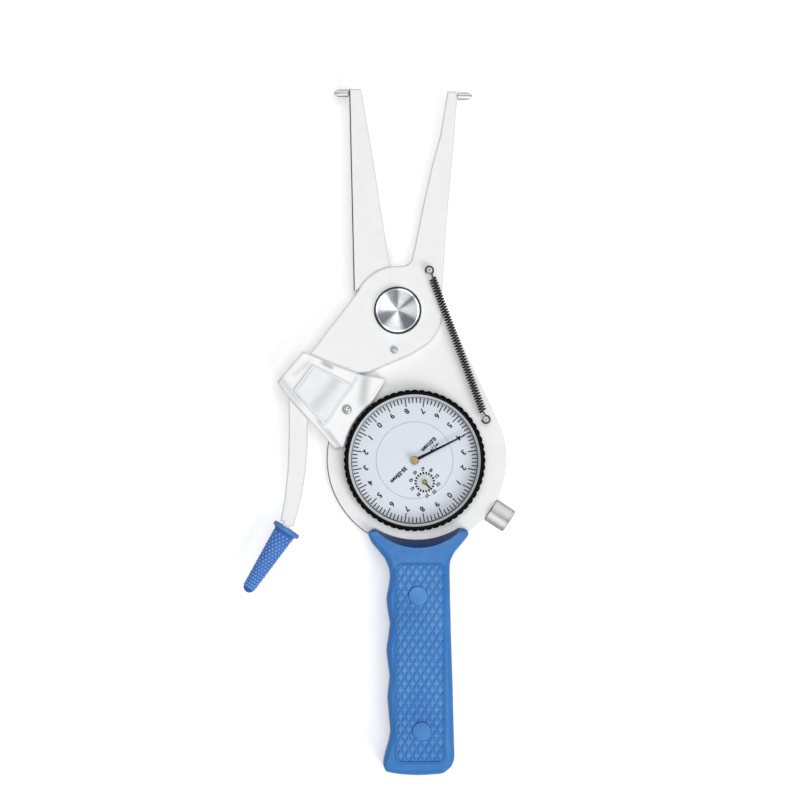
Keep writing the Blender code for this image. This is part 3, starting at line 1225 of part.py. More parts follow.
def build_handle():
    """Model the two handle shells, their screws and the front plugs."""
    split_front = HANDLE_SPLIT + FIT / 2
    split_rear = HANDLE_SPLIT - FIT / 2
    front = handle_shell("handle_front", split_front, HANDLE_FRONT)
    rear = handle_shell("handle_rear", split_rear, 0)
    pocket = plate("tang_pocket", tang_outline(FIT), FRAME_REAR - FIT, FRAME_FRONT + FIT)
    rim_cut = rod("handle_rim_cut", HOUSING_CENTRE, HOUSING_RADIUS + FIT, -OVERRUN,
                  FRAME_FRONT + FIT, DIAL_STEPS)
    low = HOUSING_RADIUS - SCOOP_OVERLAP
    high = HOUSING_RADIUS - SCOOP_LIP
    scoop_floor = FRAME_FRONT + FIT - SMALL_CHAMFER
    scoop_top = HANDLE_FRONT + OVERRUN
    slope = (high - low) / (HANDLE_FRONT - scoop_floor)
    scoop = turned("handle_scoop", [
        (0, scoop_floor), (low, scoop_floor), (low + slope * (scoop_top - scoop_floor), scoop_top),
        (0, scoop_top),
    ], DIAL_STEPS, HOUSING_CENTRE)
    for shell in (front, rear):
        cut(shell, pocket)
        cut(shell, rim_cut)
    cut(front, scoop)
    add_handle_panel(front)
    for index in range(len(HANDLE_SCREW_PLACES)):
        place = handle_screw_place(index)
        head_rear = SMALL_CHAMFER + FIT
        head_front = head_rear + HANDLE_SCREW_HEAD_HEIGHT
        tip = HANDLE_FRONT - PLUG_DEPTH - FIT * 3
        stepped_bore(rear, place, HANDLE_SCREW_HEAD_RADIUS + FIT, HANDLE_SCREW_RADIUS + FIT,
                     -OVERRUN, head_front + FIT, HANDLE_SPLIT + OVERRUN)
        bore(front, place, HANDLE_SCREW_RADIUS + FIT, HANDLE_SPLIT - OVERRUN, tip + FIT)
        bore(front, place, PLUG_RADIUS + FIT, HANDLE_FRONT - PLUG_DEPTH, HANDLE_FRONT + OVERRUN)
        screw = turned("handle_screw_%d" % (index + 1), [
            (0, head_rear), (HANDLE_SCREW_HEAD_RADIUS, head_rear),
            (HANDLE_SCREW_HEAD_RADIUS, head_front), (HANDLE_SCREW_RADIUS, head_front),
            (HANDLE_SCREW_RADIUS, tip), (0, tip),
        ], SMALL_STEPS, place)
        finish(screw, "brushed_steel")
        plug = rod("handle_plug_%d" % (index + 1), place, PLUG_RADIUS,
                   HANDLE_FRONT - PLUG_DEPTH + FIT, HANDLE_FRONT + PANEL_HEIGHT, SMALL_STEPS * 2,
                   SMALL_CHAMFER)
        finish(plug, "blue_plastic")
    finish(front, "blue_plastic")
    return finish(rear, "blue_plastic")


def add_handle_panel(front):
    """Raise the long grip panel on the handle's front face."""
    left = HANDLE_AXIS - PANEL_LEFT_SHARE * HANDLE_HALF_WIDTH
    right = HANDLE_AXIS + PANEL_RIGHT_SHARE * HANDLE_HALF_WIDTH
    top = -HANDLE_TOP - PANEL_TOP_SHARE * HANDLE_LENGTH
    end = -HANDLE_TOP - PANEL_END_SHARE * HANDLE_LENGTH
    corner = TONGUE_WIDTH * TONGUE_END_SHARE
    outline = arc((right - corner, top - corner), corner, 0, pi / 2, CORNER_STEPS)
    outline += arc((left + corner, top - corner), corner, pi / 2, pi, CORNER_STEPS)
    outline += arc((left + corner, end + corner), corner, pi, pi * 1.5, CORNER_STEPS)
    outline += arc((right - corner, end + corner), corner, pi * 1.5, tau, CORNER_STEPS)
    join(front, plate("handle_panel_pad", outline, HANDLE_FRONT - HANDLE_ROUNDING,
                      HANDLE_FRONT + PANEL_HEIGHT, (0, 0), PANEL_HEIGHT / 2))


def build_spring_posts():
    """Turn the two grooved posts that hold the return spring."""
    jobs = (
        ("arm_spring_post", arm_post_place(), ARM_REAR + ARM_THICKNESS / 3 + FIT),
        ("frame_spring_post", frame_post_place(), FRAME_REAR + FRAME_THICKNESS / 3 + FIT),
    )
    head_rear = SPRING_HEIGHT + SPRING_WIRE_RADIUS * 2 + FIT
    for name, place, rear in jobs:
        post = turned(name, [
            (0, rear), (POST_RADIUS, rear), (POST_RADIUS, head_rear), (POST_HEAD_RADIUS, head_rear),
            (POST_HEAD_RADIUS, head_rear + POST_HEAD_HEIGHT - SMALL_CHAMFER),
            (POST_HEAD_RADIUS - SMALL_CHAMFER, head_rear + POST_HEAD_HEIGHT),
            (0, head_rear + POST_HEAD_HEIGHT),
        ], SMALL_STEPS, place)
        finish(post, "brushed_steel")


def spring_points():
    """Return the spring's centre line: a hook, the curls and the second hook."""
    start = Vector((*arm_post_place(), SPRING_HEIGHT))
    end = Vector((*frame_post_place(), SPRING_HEIGHT))
    along = (end - start).normalized()
    side = Vector((-along.y, along.x, 0))
    up = Vector((0, 0, 1))
    length = (end - start).length - 2 * SPRING_LEAD
    points = []
    for step in range(HOOK_POINTS):
        angle = HOOK_SWEEP * (1 - step / HOOK_POINTS)
        points.append(start + HOOK_RADIUS * (along * cos(angle) + side * sin(angle)))
    count = SPRING_CURLS * SPRING_POINTS_PER_CURL
    for step in range(count + 1):
        angle = tau * step / SPRING_POINTS_PER_CURL
        place = start + along * (SPRING_LEAD + length * step / count)
        points.append(place + SPRING_RADIUS * (side * sin(angle) + up * cos(angle)))
    for step in range(1, HOOK_POINTS + 1):
        angle = HOOK_SWEEP * step / HOOK_POINTS
        points.append(end + HOOK_RADIUS * (-along * cos(angle) + side * sin(angle)))
    return points


def least_spring_gap(points):
    """Return the least gap between two turns of the spring's wire."""
    least = hypot(FRAME_POST_SIDE, FRAME_POST_DROP)
    for index, point in enumerate(points):
        for other in points[index + SPRING_POINTS_PER_CURL // 2:]:
            least = min(least, (point - other).length)
    return least - 2 * SPRING_WIRE_RADIUS


def build_return_spring():
    """Draw the tension spring as one unbroken wire between the posts."""
    points = spring_points()
    curve = bpy.data.curves.new("return_spring", "CURVE")
    curve.dimensions = "3D"
    curve.bevel_depth = SPRING_WIRE_RADIUS
    curve.bevel_resolution = 1
    curve.use_fill_caps = True
    spline = curve.splines.new("POLY")
    spline.points.add(len(points) - 1)
    for control, point in zip(spline.points, points):
        control.co = (*point, 1)
    spring = bpy.data.objects.new("return_spring", curve)
    bpy.context.collection.objects.link(spring)
    print("least gap between the spring's turns in mm: %.3f" % (least_spring_gap(points) / MM))
    return finish(spring, "dark_steel")


def build_gauge():
    """Build every piece of the gauge."""
    for obj in list(bpy.data.objects):
        bpy.data.objects.remove(obj, do_unlink=True)
    build_main_frame()
    build_contact_pin("fixed_contact_pin", fixed_pin_place(), pi)
    build_rear_cover()
    build_movement_plates()
    build_dial()
    build_lever_guard()
    build_handle()
    build_spring_posts()
    build_return_spring()
    build_measuring_arm()
    build_contact_pin("moving_contact_pin", moving_pin_place(), 0)
    build_pivot()
    build_sector_lever()
    build_thumb_grip()
    build_counter_arbor()
    build_centre_arbor()
    build_hands()
    build_bezel()
    build_clamp_knob()


build_gauge()
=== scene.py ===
"""Looks of the dial inside caliper gauge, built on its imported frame."""

import functools
import logging
import math
from dataclasses import dataclass
from enum import Enum
from typing import Sequence

import bmesh
import bpy
from mathutils import Matrix, Vector


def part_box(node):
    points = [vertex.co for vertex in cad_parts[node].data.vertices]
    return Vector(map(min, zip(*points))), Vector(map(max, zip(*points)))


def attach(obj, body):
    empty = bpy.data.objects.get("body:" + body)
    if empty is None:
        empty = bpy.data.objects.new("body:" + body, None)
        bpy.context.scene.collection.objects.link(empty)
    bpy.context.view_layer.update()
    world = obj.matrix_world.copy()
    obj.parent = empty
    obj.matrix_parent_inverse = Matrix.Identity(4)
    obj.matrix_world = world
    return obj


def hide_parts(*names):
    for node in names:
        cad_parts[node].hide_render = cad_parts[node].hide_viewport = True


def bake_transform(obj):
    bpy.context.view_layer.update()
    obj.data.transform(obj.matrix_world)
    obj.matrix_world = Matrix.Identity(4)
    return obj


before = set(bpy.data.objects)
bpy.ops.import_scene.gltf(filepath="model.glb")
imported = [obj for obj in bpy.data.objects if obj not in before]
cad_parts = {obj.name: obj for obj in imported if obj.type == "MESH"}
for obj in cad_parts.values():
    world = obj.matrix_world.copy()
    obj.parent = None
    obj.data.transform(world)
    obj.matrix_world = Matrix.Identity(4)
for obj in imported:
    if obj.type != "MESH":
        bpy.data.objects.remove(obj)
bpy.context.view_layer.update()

LOG = logging.getLogger("gauge_looks")
MM = 0.001
TAU = math.tau
MERGE = 0.001 * MM
SMOOTH_ANGLE = math.radians(32)
SHARP_LIMIT = 0.4
CORNER_REACH = 0.45
Flat = tuple[float, float]
Table = tuple[Flat, ...]
Colour = tuple[int, int, int]
Place = tuple[float, float, float]
Socket = bpy.types.NodeSocket
Piece = bpy.types.Object
DIAL_CENTRE: Flat = (6.76 * MM, -59.84 * MM)
HOUSING_CENTRE: Flat = (7.52 * MM, -59.16 * MM)
HOUSING_RADIUS = 36.15 * MM


class Body(Enum):
    """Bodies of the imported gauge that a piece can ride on."""

    FRAME = "frame"
    ARM = "arm"
    COUNTER = "counter"
    CENTRE = "centre"
    BEZEL = "bezel_group"
    CLAMP = "clamp"


class Slot(Enum):
    """Material slots named in the record."""

    WHITE_PAINT = "white_paint"
    BLUE_PLASTIC = "blue_plastic"
    BLUE_RUBBER = "blue_rubber"
    BRUSHED_STEEL = "brushed_steel"
    POLISHED_STEEL = "polished_steel"
    DARK_STEEL = "dark_steel"
    BRASS = "brass"
    BLACK_PAINT = "black_paint"
    GREY_LINER = "grey_liner"
    DIAL_ENAMEL = "dial_enamel"
    CRYSTAL = "crystal"
    SILVER_PAINT = "silver_paint"


def linear(value: float) -> float:
    """Turn a display value from 0 to 255 into a linear one from 0 to 1."""
    share = value / 255
    return share / 12.92 if share <= 0.04045 else ((share + 0.055) / 1.055) ** 2.4


def linear_colour(colour: Colour) -> tuple[float, float, float, float]:
    """Turn a display colour into a linear one with full alpha."""
    return (linear(colour[0]), linear(colour[1]), linear(colour[2]), 1.0)


def polar(centre: Flat, radius: float, angle: float) -> Flat:
    """Return the point at a radius and an angle from a centre."""
    return (centre[0] + radius * math.cos(angle), centre[1] + radius * math.sin(angle))


class NodeGraph:
    """Nodes of a material or a world, added by short calls."""

    def __init__(self, tree: bpy.types.NodeTree) -> None:
        """Work on a node tree."""
        self.nodes = tree.nodes
        self.links = tree.links

    def feed(self, socket: Socket, value: object) -> None:
        """Link a socket to another one, or set its constant value."""
        if isinstance(value, bpy.types.NodeSocket):
            self.links.new(value, socket)
        else:
            socket.default_value = value

    def add(self, kind: str, inputs: dict | None = None, **settings: object) -> bpy.types.Node:
        """Add a node.

        Args:
            kind: Type of the node, without the words ShaderNode.
            inputs: Values or sockets for its inputs, by name or number.
            settings: Properties of the node.

        Returns:
            The new node.
        """
        node = self.nodes.new("ShaderNode" + kind)
        for key, value in settings.items():
            setattr(node, key, value)
        for key, value in (inputs or {}).items():
            self.feed(node.inputs[key], value)
        return node

    def calc(self, operation: str, *values: object) -> Socket:
        """Return the result of a Math node on values or sockets."""
        return self.add("Math", dict(enumerate(values)), operation=operation).outputs[0]

    def seen(self) -> Socket:
        """Return 1 for rays from the camera, a reflection or glass, and 0 for light."""
        path = self.add("LightPath").outputs
        bounced = self.calc("MAXIMUM", path["Is Glossy Ray"], path["Is Transmission Ray"])
        return self.calc("MAXIMUM", path["Is Camera Ray"], bounced)


class SurfaceGraph(NodeGraph):
    """Node graph of one material, round its Principled shader."""

    def __init__(self, name: str) -> None:
        """Start a material of a name."""
        self.material = bpy.data.materials.new(name)
        self.material.use_nodes = True
        super().__init__(self.material.node_tree)
        self.shader = self.nodes["Principled BSDF"]
        self.place = self.add("TexCoord").outputs["Object"]

    def set(self, name: str, value: object) -> None:
        """Set or link an input of the Principled shader."""
        self.feed(self.shader.inputs[name], value)

    def mapped(self, scale: Sequence[float] = (1, 1, 1), turn: float = 0.0,
               offset: Sequence[float] = (0, 0, 0)) -> Socket:
        """Return the object's own coordinates, moved, turned about Z and scaled.

        Args:
            scale: Scale along each axis.
            turn: Turn about Z in radians.
            offset: Point that becomes the zero of the result.

        Returns:
            The coordinates as a vector socket.
        """
        moved = self.add("VectorMath", {0: self.place, 1: offset}, operation="SUBTRACT")
        inputs = {"Vector": moved.outputs[0], "Rotation": (0, 0, turn), "Scale": scale}
        return self.add("Mapping", inputs).outputs[0]

    def noise(self, scale: float, detail: float = 2.0, vector: Socket | None = None) -> Socket:
        """Return a noise texture's value.

        Args:
            scale: Scale of the noise, per metre.
            detail: Number of octaves.
            vector: Coordinates, the object's own where none are given.

        Returns:
            The value from 0 to 1.
        """
        inputs = {"Vector": vector or self.place, "Scale": scale, "Detail": detail}
        return self.add("TexNoise", inputs).outputs["Fac"]

    def spread(self, value: object, low: float, high: float, to_low: float, to_high: float,
               smooth: bool = False) -> Socket:
        """Map a value from one range to another, held at both ends.

        Args:
            value: Value or socket.
            low: Start of the first range.
            high: End of the first range.
            to_low: Start of the second range.
            to_high: End of the second range.
            smooth: Whether the change eases in and out.

        Returns:
            The mapped value.
        """
        inputs = {"Value": value, "From Min": low, "From Max": high, "To Min": to_low, "To Max": to_high}
        kind = "SMOOTHSTEP" if smooth else "LINEAR"
        return self.add("MapRange", inputs, interpolation_type=kind).outputs[0]

    def mix(self, factor: object, first: object, second: object) -> Socket:
        """Mix two colours.

        Args:
            factor: Share of the second colour.
            first: Colour or socket.
            second: Colour or socket.

        Returns:
            The mixed colour.
        """
        inputs = {0: factor}
        for index, colour in ((6, first), (7, second)):
            inputs[index] = linear_colour(colour) if isinstance(colour, tuple) else colour
        return self.add("Mix", inputs, data_type="RGBA").outputs[2]

    def bevel(self, radius: float) -> Socket:
        """Return normals that round the edges off by a radius."""
        return self.add("Bevel", {"Radius": radius}, samples=6).outputs[0]

    def dot(self, first: object, second: object) -> Socket:
        """Return the dot product of two vectors."""
        return self.add("VectorMath", {0: first, 1: second}, operation="DOT_PRODUCT").outputs["Value"]

    def geometry(self, name: str) -> Socket:
        """Return an output of the Geometry node."""
        return self.add("NewGeometry").outputs[name]

    def edge(self, rounded: Socket, strength: float) -> Socket:
        """Return a mask of the edges.

        Args:
            rounded: Normals from a Bevel node.
            strength: Gain of the mask.

        Returns:
            The mask, 0 on flats and up to 1 on edges.
        """
        lost = self.calc("SUBTRACT", 1.0, self.dot(rounded, self.geometry("Normal")))
        return self.spread(self.calc("MULTIPLY", lost, strength), 0, 1, 0, 1)

    def with_corner_shade(self, base: Socket, reach: float, share: float, colour: Colour) -> Socket:
        """Darken a colour with painted shade in corners, creases and gaps, found by ambient occlusion.

        Args:
            base: Colour before the painted shade.
            reach: Width of the corners in metres.
            share: Share of the painted shade where it is deepest.
            colour: Colour of the painted shade.

        Returns:
            The colour with painted corner shade.
        """
        open_share = self.add("AmbientOcclusion", {"Distance": reach}, samples=8).outputs["AO"]
        corner = self.calc("SUBTRACT", 1.0, open_share)
        return self.mix(self.calc("MULTIPLY", corner, share), base, colour)

    def set_roughness(self, level: float, less: float, more: float, scale: float = 260.0,
                      detail: float = 2.0) -> None:
        """Vary the roughness round a level.

        Args:
            level: Usual roughness.
            less: Amount by which smooth spots lie under it.
            more: Amount by which rough spots lie over it.
            scale: Scale of the spots, per metre.
            detail: Number of octaves.
        """
        self.set("Roughness", self.spread(self.noise(scale, detail), 0.3, 0.7, level - less, level + more))

    def set_relief(self, height: Socket, depth: float, normal: Socket | None = None) -> None:
        """Add a bump of a real depth.

        Args:
            height: Height from 0 to 1.
            depth: Depth in metres.
            normal: Normals that the bump is added to.
        """
        inputs = {"Height": height, "Distance": depth}
        if normal is not None:
            inputs["Normal"] = normal
        self.set("Normal", self.add("Bump", inputs).outputs[0])

    def along(self, centre: Flat, heading: float) -> Socket:
        """Return a point's distance from a centre, measured along a heading."""
        return self.dot(self.mapped(offset=(*centre, 0)), (math.cos(heading), math.sin(heading), 0))

    def facing(self, direction: Sequence[float]) -> Socket:
        """Return how far a face is turned towards a unit direction, from -1 to 1."""
        return self.dot(self.geometry("True Normal"), direction)

    def ramp(self, value: object, stops: Table) -> Socket:
        """Turn a share into a grey by a table of stops.

        Args:
            value: Share from 0 to 1.
            stops: Pairs of a share and a display grey.

        Returns:
            The grey as a colour.
        """
        node = self.add("ValToRGB", {0: value})
        elements = node.color_ramp.elements
        while len(elements) < len(stops):
            elements.new(0.5)
        for element, (share, grey) in zip(elements, stops):
            element.position = share
            element.color = linear_colour((grey, grey, grey))
        return node.outputs[0]

    def angle_and_radius(self, centre: Flat) -> tuple[Socket, Socket]:
        """Return a point's angle and radius about an upright axis.

        Args:
            centre: Point on the axis.

        Returns:
            The angle in radians and the radius in metres.
        """
        split = self.add("SeparateXYZ", {0: self.mapped(offset=(*centre, 0))})
        across, up = split.outputs[0], split.outputs[1]
        square = self.calc("ADD", self.calc("MULTIPLY", across, across), self.calc("MULTIPLY", up, up))
        return self.calc("ARCTAN2", up, across), self.calc("SQRT", square)


@dataclass(frozen=True)
class Finish:
    """A surface finish, from which one material is made."""

    name: str

    def wire(self, graph: SurfaceGraph) -> None:
        """Lay the finish out in a graph."""
        raise NotImplementedError

    @functools.cache
    def material(self) -> bpy.types.Material:
        """Return the finish's material, made on its first use."""
        graph = SurfaceGraph(self.name)
        self.wire(graph)
        return graph.material


@dataclass(frozen=True)
class Paint(Finish):
    """Stoved paint with faint mottling, painted shade in its corners, and soft edges painted darker as shade
    on pale paint and lighter as a highlight on dark paint.
    """

    colour: Colour
    shade: Colour
    # Colour of the painted shade in corners; its share and reach follow further down.
    corner_shade: Colour
    roughness: float = 0.4
    edge_radius: float = 0.35 * MM
    # The edge share here and the edge colour below: painted shade on the edges of pale paint, a painted
    # highlight on those of dark paint.
    edge_share: float = 0.5
    edge: Colour = (186, 188, 192)
    corner_shade_share: float = 0.25
    corner_shade_reach: float = 1.2 * MM
    ior: float = 1.5
    depth: float = 0.01 * MM
    # Faces turned to this heading, away from the light, get a painted shade line; its colour and span follow.
    shade_line_heading: float | None = None
    line: Colour = (52, 53, 57)
    shade_line_span: Flat = (0.8 * MM, 0.45 * MM)

    def painted_shade_line(self, graph: SurfaceGraph) -> Socket:
        """Return where the painted shade line lies along the casting's lower-left edge, on faces turned away
        from the light.

        Args:
            graph: Graph that the nodes go into.

        Returns:
            The strength from 0 to 1.
        """
        heading = (math.cos(self.shade_line_heading), math.sin(self.shade_line_heading), 0)
        chamfer = graph.spread(graph.facing(heading), 0.42, 0.6, 0, 1)
        _, radius = graph.angle_and_radius(HOUSING_CENTRE)
        first, last = (HOUSING_RADIUS - gap for gap in self.shade_line_span)
        rim = graph.spread(radius, first, last, 0, 1)
        out = graph.along(HOUSING_CENTRE, self.shade_line_heading + 0.25)
        side = graph.spread(out, 0.45 * HOUSING_RADIUS, 0.7 * HOUSING_RADIUS, 0, 1)
        either = graph.calc("MAXIMUM", chamfer, graph.calc("MULTIPLY", rim, side))
        return graph.calc("MULTIPLY", either, graph.spread(graph.facing((0, 0, 1)), 0.15, 0.4, 0, 1))

    def wire(self, graph: SurfaceGraph) -> None:
        """Lay the paint out in a graph.

        Args:
            graph: Graph that the nodes go into.
        """
        rounded = graph.bevel(self.edge_radius)
        base = graph.mix(graph.spread(graph.noise(70, 4), 0.35, 0.7, 0, 0.35), self.colour, self.shade)
        # Painted edge shade on pale paint, painted edge highlight on dark paint.
        edge_shade_and_highlight = graph.calc("MULTIPLY", graph.edge(rounded, 5.0), self.edge_share)
        base = graph.mix(edge_shade_and_highlight, base, self.edge)
        # Painted shade line along the lower-left edge.
        if self.shade_line_heading is not None:
            base = graph.mix(self.painted_shade_line(graph), base, self.line)
        # Painted shade in corners and gaps.
        graph.set("Base Color", graph.with_corner_shade(base, self.corner_shade_reach, self.corner_shade_share, self.corner_shade))
        graph.set("IOR", self.ior)
        graph.set("Specular IOR Level", 0.35)
        graph.set_roughness(self.roughness, 0.06, 0.08, 240, 3)
        graph.set_relief(graph.noise(900), self.depth, rounded)


@dataclass(frozen=True)
class Plastic(Finish):
    """Moulded plastic or rubber with a fine grain and lighter edges, painted shade on faces turned from the
    light, at grazing angles and in corners, painted light on faces turned to it and a painted highlight on
    raised parts.
    """

    colour: Colour
    light: Colour
    deep: Colour
    roughness: float = 0.45
    grain: float = 1400.0
    depth: float = 0.02 * MM
    edge_radius: float = 0.3 * MM
    corner_shade_reach: float = 1.2 * MM
    # Faces turned to this direction get painted shade and faces turned from it painted light, by the shares
    # below.
    shade_facing: Place = (0, 1, 0)
    facing_span: Flat = (0.5, 0.72)
    shade_share: float = 0.0
    shade_within: tuple[Flat, float] | None = None
    painted_light_share: float = 0.0
    # Name of a height attribute whose raised parts get a painted highlight.
    raised: str | None = None

    def painted_shade_mask(self, graph: SurfaceGraph) -> Socket:
        """Return the share of painted shade on faces turned away from the light and at grazing angles.

        Args:
            graph: Graph that the nodes go into.

        Returns:
            The share of the deep colour, from 0 to 1.
        """
        shade_facing = graph.spread(graph.facing(self.shade_facing), *self.facing_span, 0, self.shade_share)
        if self.shade_within:
            middle, reach = self.shade_within
            away = graph.calc("ABSOLUTE", graph.along(middle, 0))
            shade_facing = graph.calc("MULTIPLY", shade_facing, graph.spread(away, reach * 0.94, reach, 1, 0))
        # Painted shade at grazing angles along the outline.
        glance = graph.add("LayerWeight").outputs["Facing"]
        return graph.calc("MAXIMUM", shade_facing, graph.spread(glance, 0.4, 0.9, 0, 0.6))

    def wire(self, graph: SurfaceGraph) -> None:
        """Lay the plastic out in a graph.

        Args:
            graph: Graph that the nodes go into.
        """
        rounded = graph.bevel(self.edge_radius)
        base = graph.mix(graph.spread(graph.noise(45, 3), 0.3, 0.75, 0, 0.5), self.colour, self.light)
        base = graph.mix(graph.calc("MULTIPLY", graph.edge(rounded, 4.0), 0.35), base, self.light)
        # Painted highlight on raised dots and on the flange.
        if self.raised:
            height = graph.add("Attribute", attribute_name=self.raised).outputs["Fac"]
            base = graph.mix(graph.spread(height, 0, 0.7, 0, 1), base, self.light)
        # Painted shade in corners and gaps, in the deep colour.
        base = graph.with_corner_shade(base, self.corner_shade_reach, 0.75, self.deep)
        # Painted light on faces turned towards the light.
        lit_facing = graph.facing(tuple(-part for part in self.shade_facing))
        base = graph.mix(graph.spread(lit_facing, *self.facing_span, 0, self.painted_light_share), base, self.light)
        graph.set("Base Color", graph.mix(self.painted_shade_mask(graph), base, self.deep))
        graph.set("Specular IOR Level", 0.3)
        graph.set_roughness(self.roughness, 0.07, 0.07, 300)
        graph.set_relief(graph.noise(self.grain), self.depth, rounded)


@dataclass(frozen=True)
class Metal(Finish):
    """Machined metal with fine marks along one direction."""

    colour: Colour
    shade: Colour
    roughness: float = 0.28
    stretch: Place = (1, 14, 14)
    marks: float = 420.0
    depth: float = 0.006 * MM
    edge_radius: float = 0.15 * MM
    corner_shade_reach: float = 0.8 * MM

    def wire(self, graph: SurfaceGraph) -> None:
        """Lay the metal out in a graph.

        Args:
            graph: Graph that the nodes go into.
        """
        lines = graph.noise(self.marks, 3, graph.mapped(self.stretch))
        base = graph.mix(graph.spread(lines, 0.3, 0.72, 0, 1), self.shade, self.colour)
        # Painted shade in corners and gaps.
        graph.set("Base Color", graph.with_corner_shade(base, self.corner_shade_reach, 0.6, (60, 60, 62)))
        graph.set("Metallic", 1.0)
        graph.set_roughness(self.roughness, 0.05, 0.08)
        graph.set_relief(lines, self.depth, graph.bevel(self.edge_radius))


@dataclass(frozen=True)
class SpunMetal(Finish):
    """Turned steel face with concentric tool marks and a painted reflection of fanned bright rays."""

    bright: Colour
    dull: Colour
    rays: Table
    centre: Flat = (0, 0)
    middle: Colour = (168, 170, 174)
    middle_span: Flat = (0.3 * MM, 4.0 * MM)
    ring_pitch: float = 0.3 * MM
    roughness: float = 0.24
    depth: float = 0.003 * MM
    edge_radius: float = 0.15 * MM

    def reflection_fan(self, graph: SurfaceGraph, angle: Socket) -> Socket:
        """Return the brightness of the painted reflection rays at an angle.

        Args:
            graph: Graph that the nodes go into.
            angle: Angle about the centre.

        Returns:
            The brightness from 0 to 1.
        """
        total: object = 0.0
        wander = graph.spread(graph.noise(140, 3), 0, 1, -0.09, 0.09)
        for heading, half_width in self.rays:
            away = graph.calc("SUBTRACT", angle, math.radians(heading))
            apart = graph.calc("COSINE", graph.calc("ADD", away, wander))
            ray = graph.spread(apart, math.cos(math.radians(half_width)), 1.0, 0, 1, True)
            total = graph.calc("MAXIMUM", total, graph.calc("POWER", ray, 1.5))
        return total

    def wire(self, graph: SurfaceGraph) -> None:
        """Lay the spun metal out in a graph.

        Args:
            graph: Graph that the nodes go into.
        """
        angle, radius = graph.angle_and_radius(self.centre)
        rings = graph.calc("SINE", graph.calc("MULTIPLY", radius, TAU / self.ring_pitch))
        # Painted reflection: bright rays on a dull ground, fading into a mid grey near the centre.
        base = graph.mix(self.reflection_fan(graph, angle), self.dull, self.bright)
        base = graph.mix(graph.spread(radius, *self.middle_span, 0.45, 0, True), base, self.middle)
        graph.set("Base Color", graph.mix(graph.spread(rings, -1, 1, 0.0, 0.14), base, self.dull))
        graph.set("Metallic", 1.0)
        graph.set("Anisotropic", 0.6)
        graph.set_roughness(self.roughness, 0.04, 0.06, 500)
        graph.set_relief(rings, self.depth, graph.bevel(self.edge_radius))


@dataclass(frozen=True)
class BandedMetal(Finish):
    """Ground steel rod with painted reflection bands along its length and painted shade at its outer end."""

    centre: Flat
    heading: float
    half_width: float
    stops: Table
    end: float = 1.0
    end_shade: Colour = (62, 63, 67)
    end_shade_span: Flat = (0.35 * MM, 0.2 * MM)
    metallic: float = 0.12
    specular: float = 0.2
    roughness: float = 0.34
    depth: float = 0.003 * MM
    edge_radius: float = 0.12 * MM
    corner_shade_reach: float = 0.6 * MM

    def wire(self, graph: SurfaceGraph) -> None:
        """Lay the rod's finish out in a graph.

        Args:
            graph: Graph that the nodes go into.
        """
        across = graph.along(self.centre, self.heading + math.pi / 2)
        share = graph.spread(across, -self.half_width, self.half_width, 0, 1)
        wander = graph.spread(graph.noise(500, 3, graph.mapped(turn=self.heading)), 0, 1, -0.03, 0.03)
        # Painted reflection bands across the rod.
        base = graph.ramp(graph.calc("ADD", share, wander), self.stops)
        out = graph.along(self.centre, self.heading)
        first, last = (self.end - gap for gap in self.end_shade_span)
        # Painted shade along the rod's outer end.
        base = graph.mix(graph.spread(out, first, last, 0, 0.85), base, self.end_shade)
        # Painted shade in corners and gaps.
        graph.set("Base Color", graph.with_corner_shade(base, self.corner_shade_reach, 0.6, (50, 51, 54)))
        graph.set("Metallic", self.metallic)
        graph.set("Specular IOR Level", self.specular)
        graph.set_roughness(self.roughness, 0.05, 0.07)
        graph.set_relief(graph.noise(900), self.depth, graph.bevel(self.edge_radius))


@dataclass(frozen=True)
class Enamel(Finish):
    """Dial enamel, satin and faintly cloudy."""

    colour: Colour
    shade: Colour
    roughness: float = 0.5
    depth: float = 0.004 * MM

    def wire(self, graph: SurfaceGraph) -> None:
        """Lay the enamel out in a graph.

        Args:
            graph: Graph that the nodes go into.
        """
        cloud = graph.spread(graph.noise(60, 4), 0.3, 0.7, 0, 0.6)
        graph.set("Base Color", graph.mix(cloud, self.colour, self.shade))
        graph.set("Specular IOR Level", 0.3)
        graph.set_roughness(self.roughness, 0.05, 0.08, 400)
        graph.set_relief(graph.noise(1500), self.depth)


@dataclass(frozen=True)
class ClearCrystal(Finish):
    """Thin clear crystal that lets the dial show at its own colour."""

    alpha: float = 0.02
    specular: float = 0.05
    roughness: float = 0.05
    depth: float = 0.002 * MM

    def wire(self, graph: SurfaceGraph) -> None:
        """Lay the crystal out in a graph.

        Args:
            graph: Graph that the nodes go into.
        """
        graph.set("Base Color", graph.mix(graph.noise(80), (112, 118, 126), (104, 110, 118)))
        graph.set("Alpha", self.alpha)
        graph.set("Specular IOR Level", self.specular)
        graph.set_roughness(self.roughness, 0.02, 0.02, 300)
        graph.set_relief(graph.noise(200), self.depth)


@dataclass(frozen=True)
class ShadeStreak:
    """A soft grey streak of painted shade, used along folds and as darker reflection bands, with its sizes in
    millimetres.
    """

    middle: Flat
    heading: float
    half_length: float
    half_width: float
    share: float

    def mask(self, graph: SurfaceGraph) -> Socket:
        """Return the streak's strength at a point.

        Args:
            graph: Graph that the nodes go into.

        Returns:
            The strength from 0 to the streak's share.
        """
        centre = (self.middle[0] * MM, self.middle[1] * MM)
        turn = math.radians(self.heading)
        length = graph.calc("ABSOLUTE", graph.along(centre, turn))
        width = graph.calc("ABSOLUTE", graph.along(centre, turn + math.pi / 2))
        half = self.half_length * MM
        ends = graph.spread(length, half * 0.4, half, 1, 0, True)
        sides = graph.spread(width, 0, self.half_width * MM, self.share, 0, True)
        return graph.calc("MULTIPLY", ends, sides)


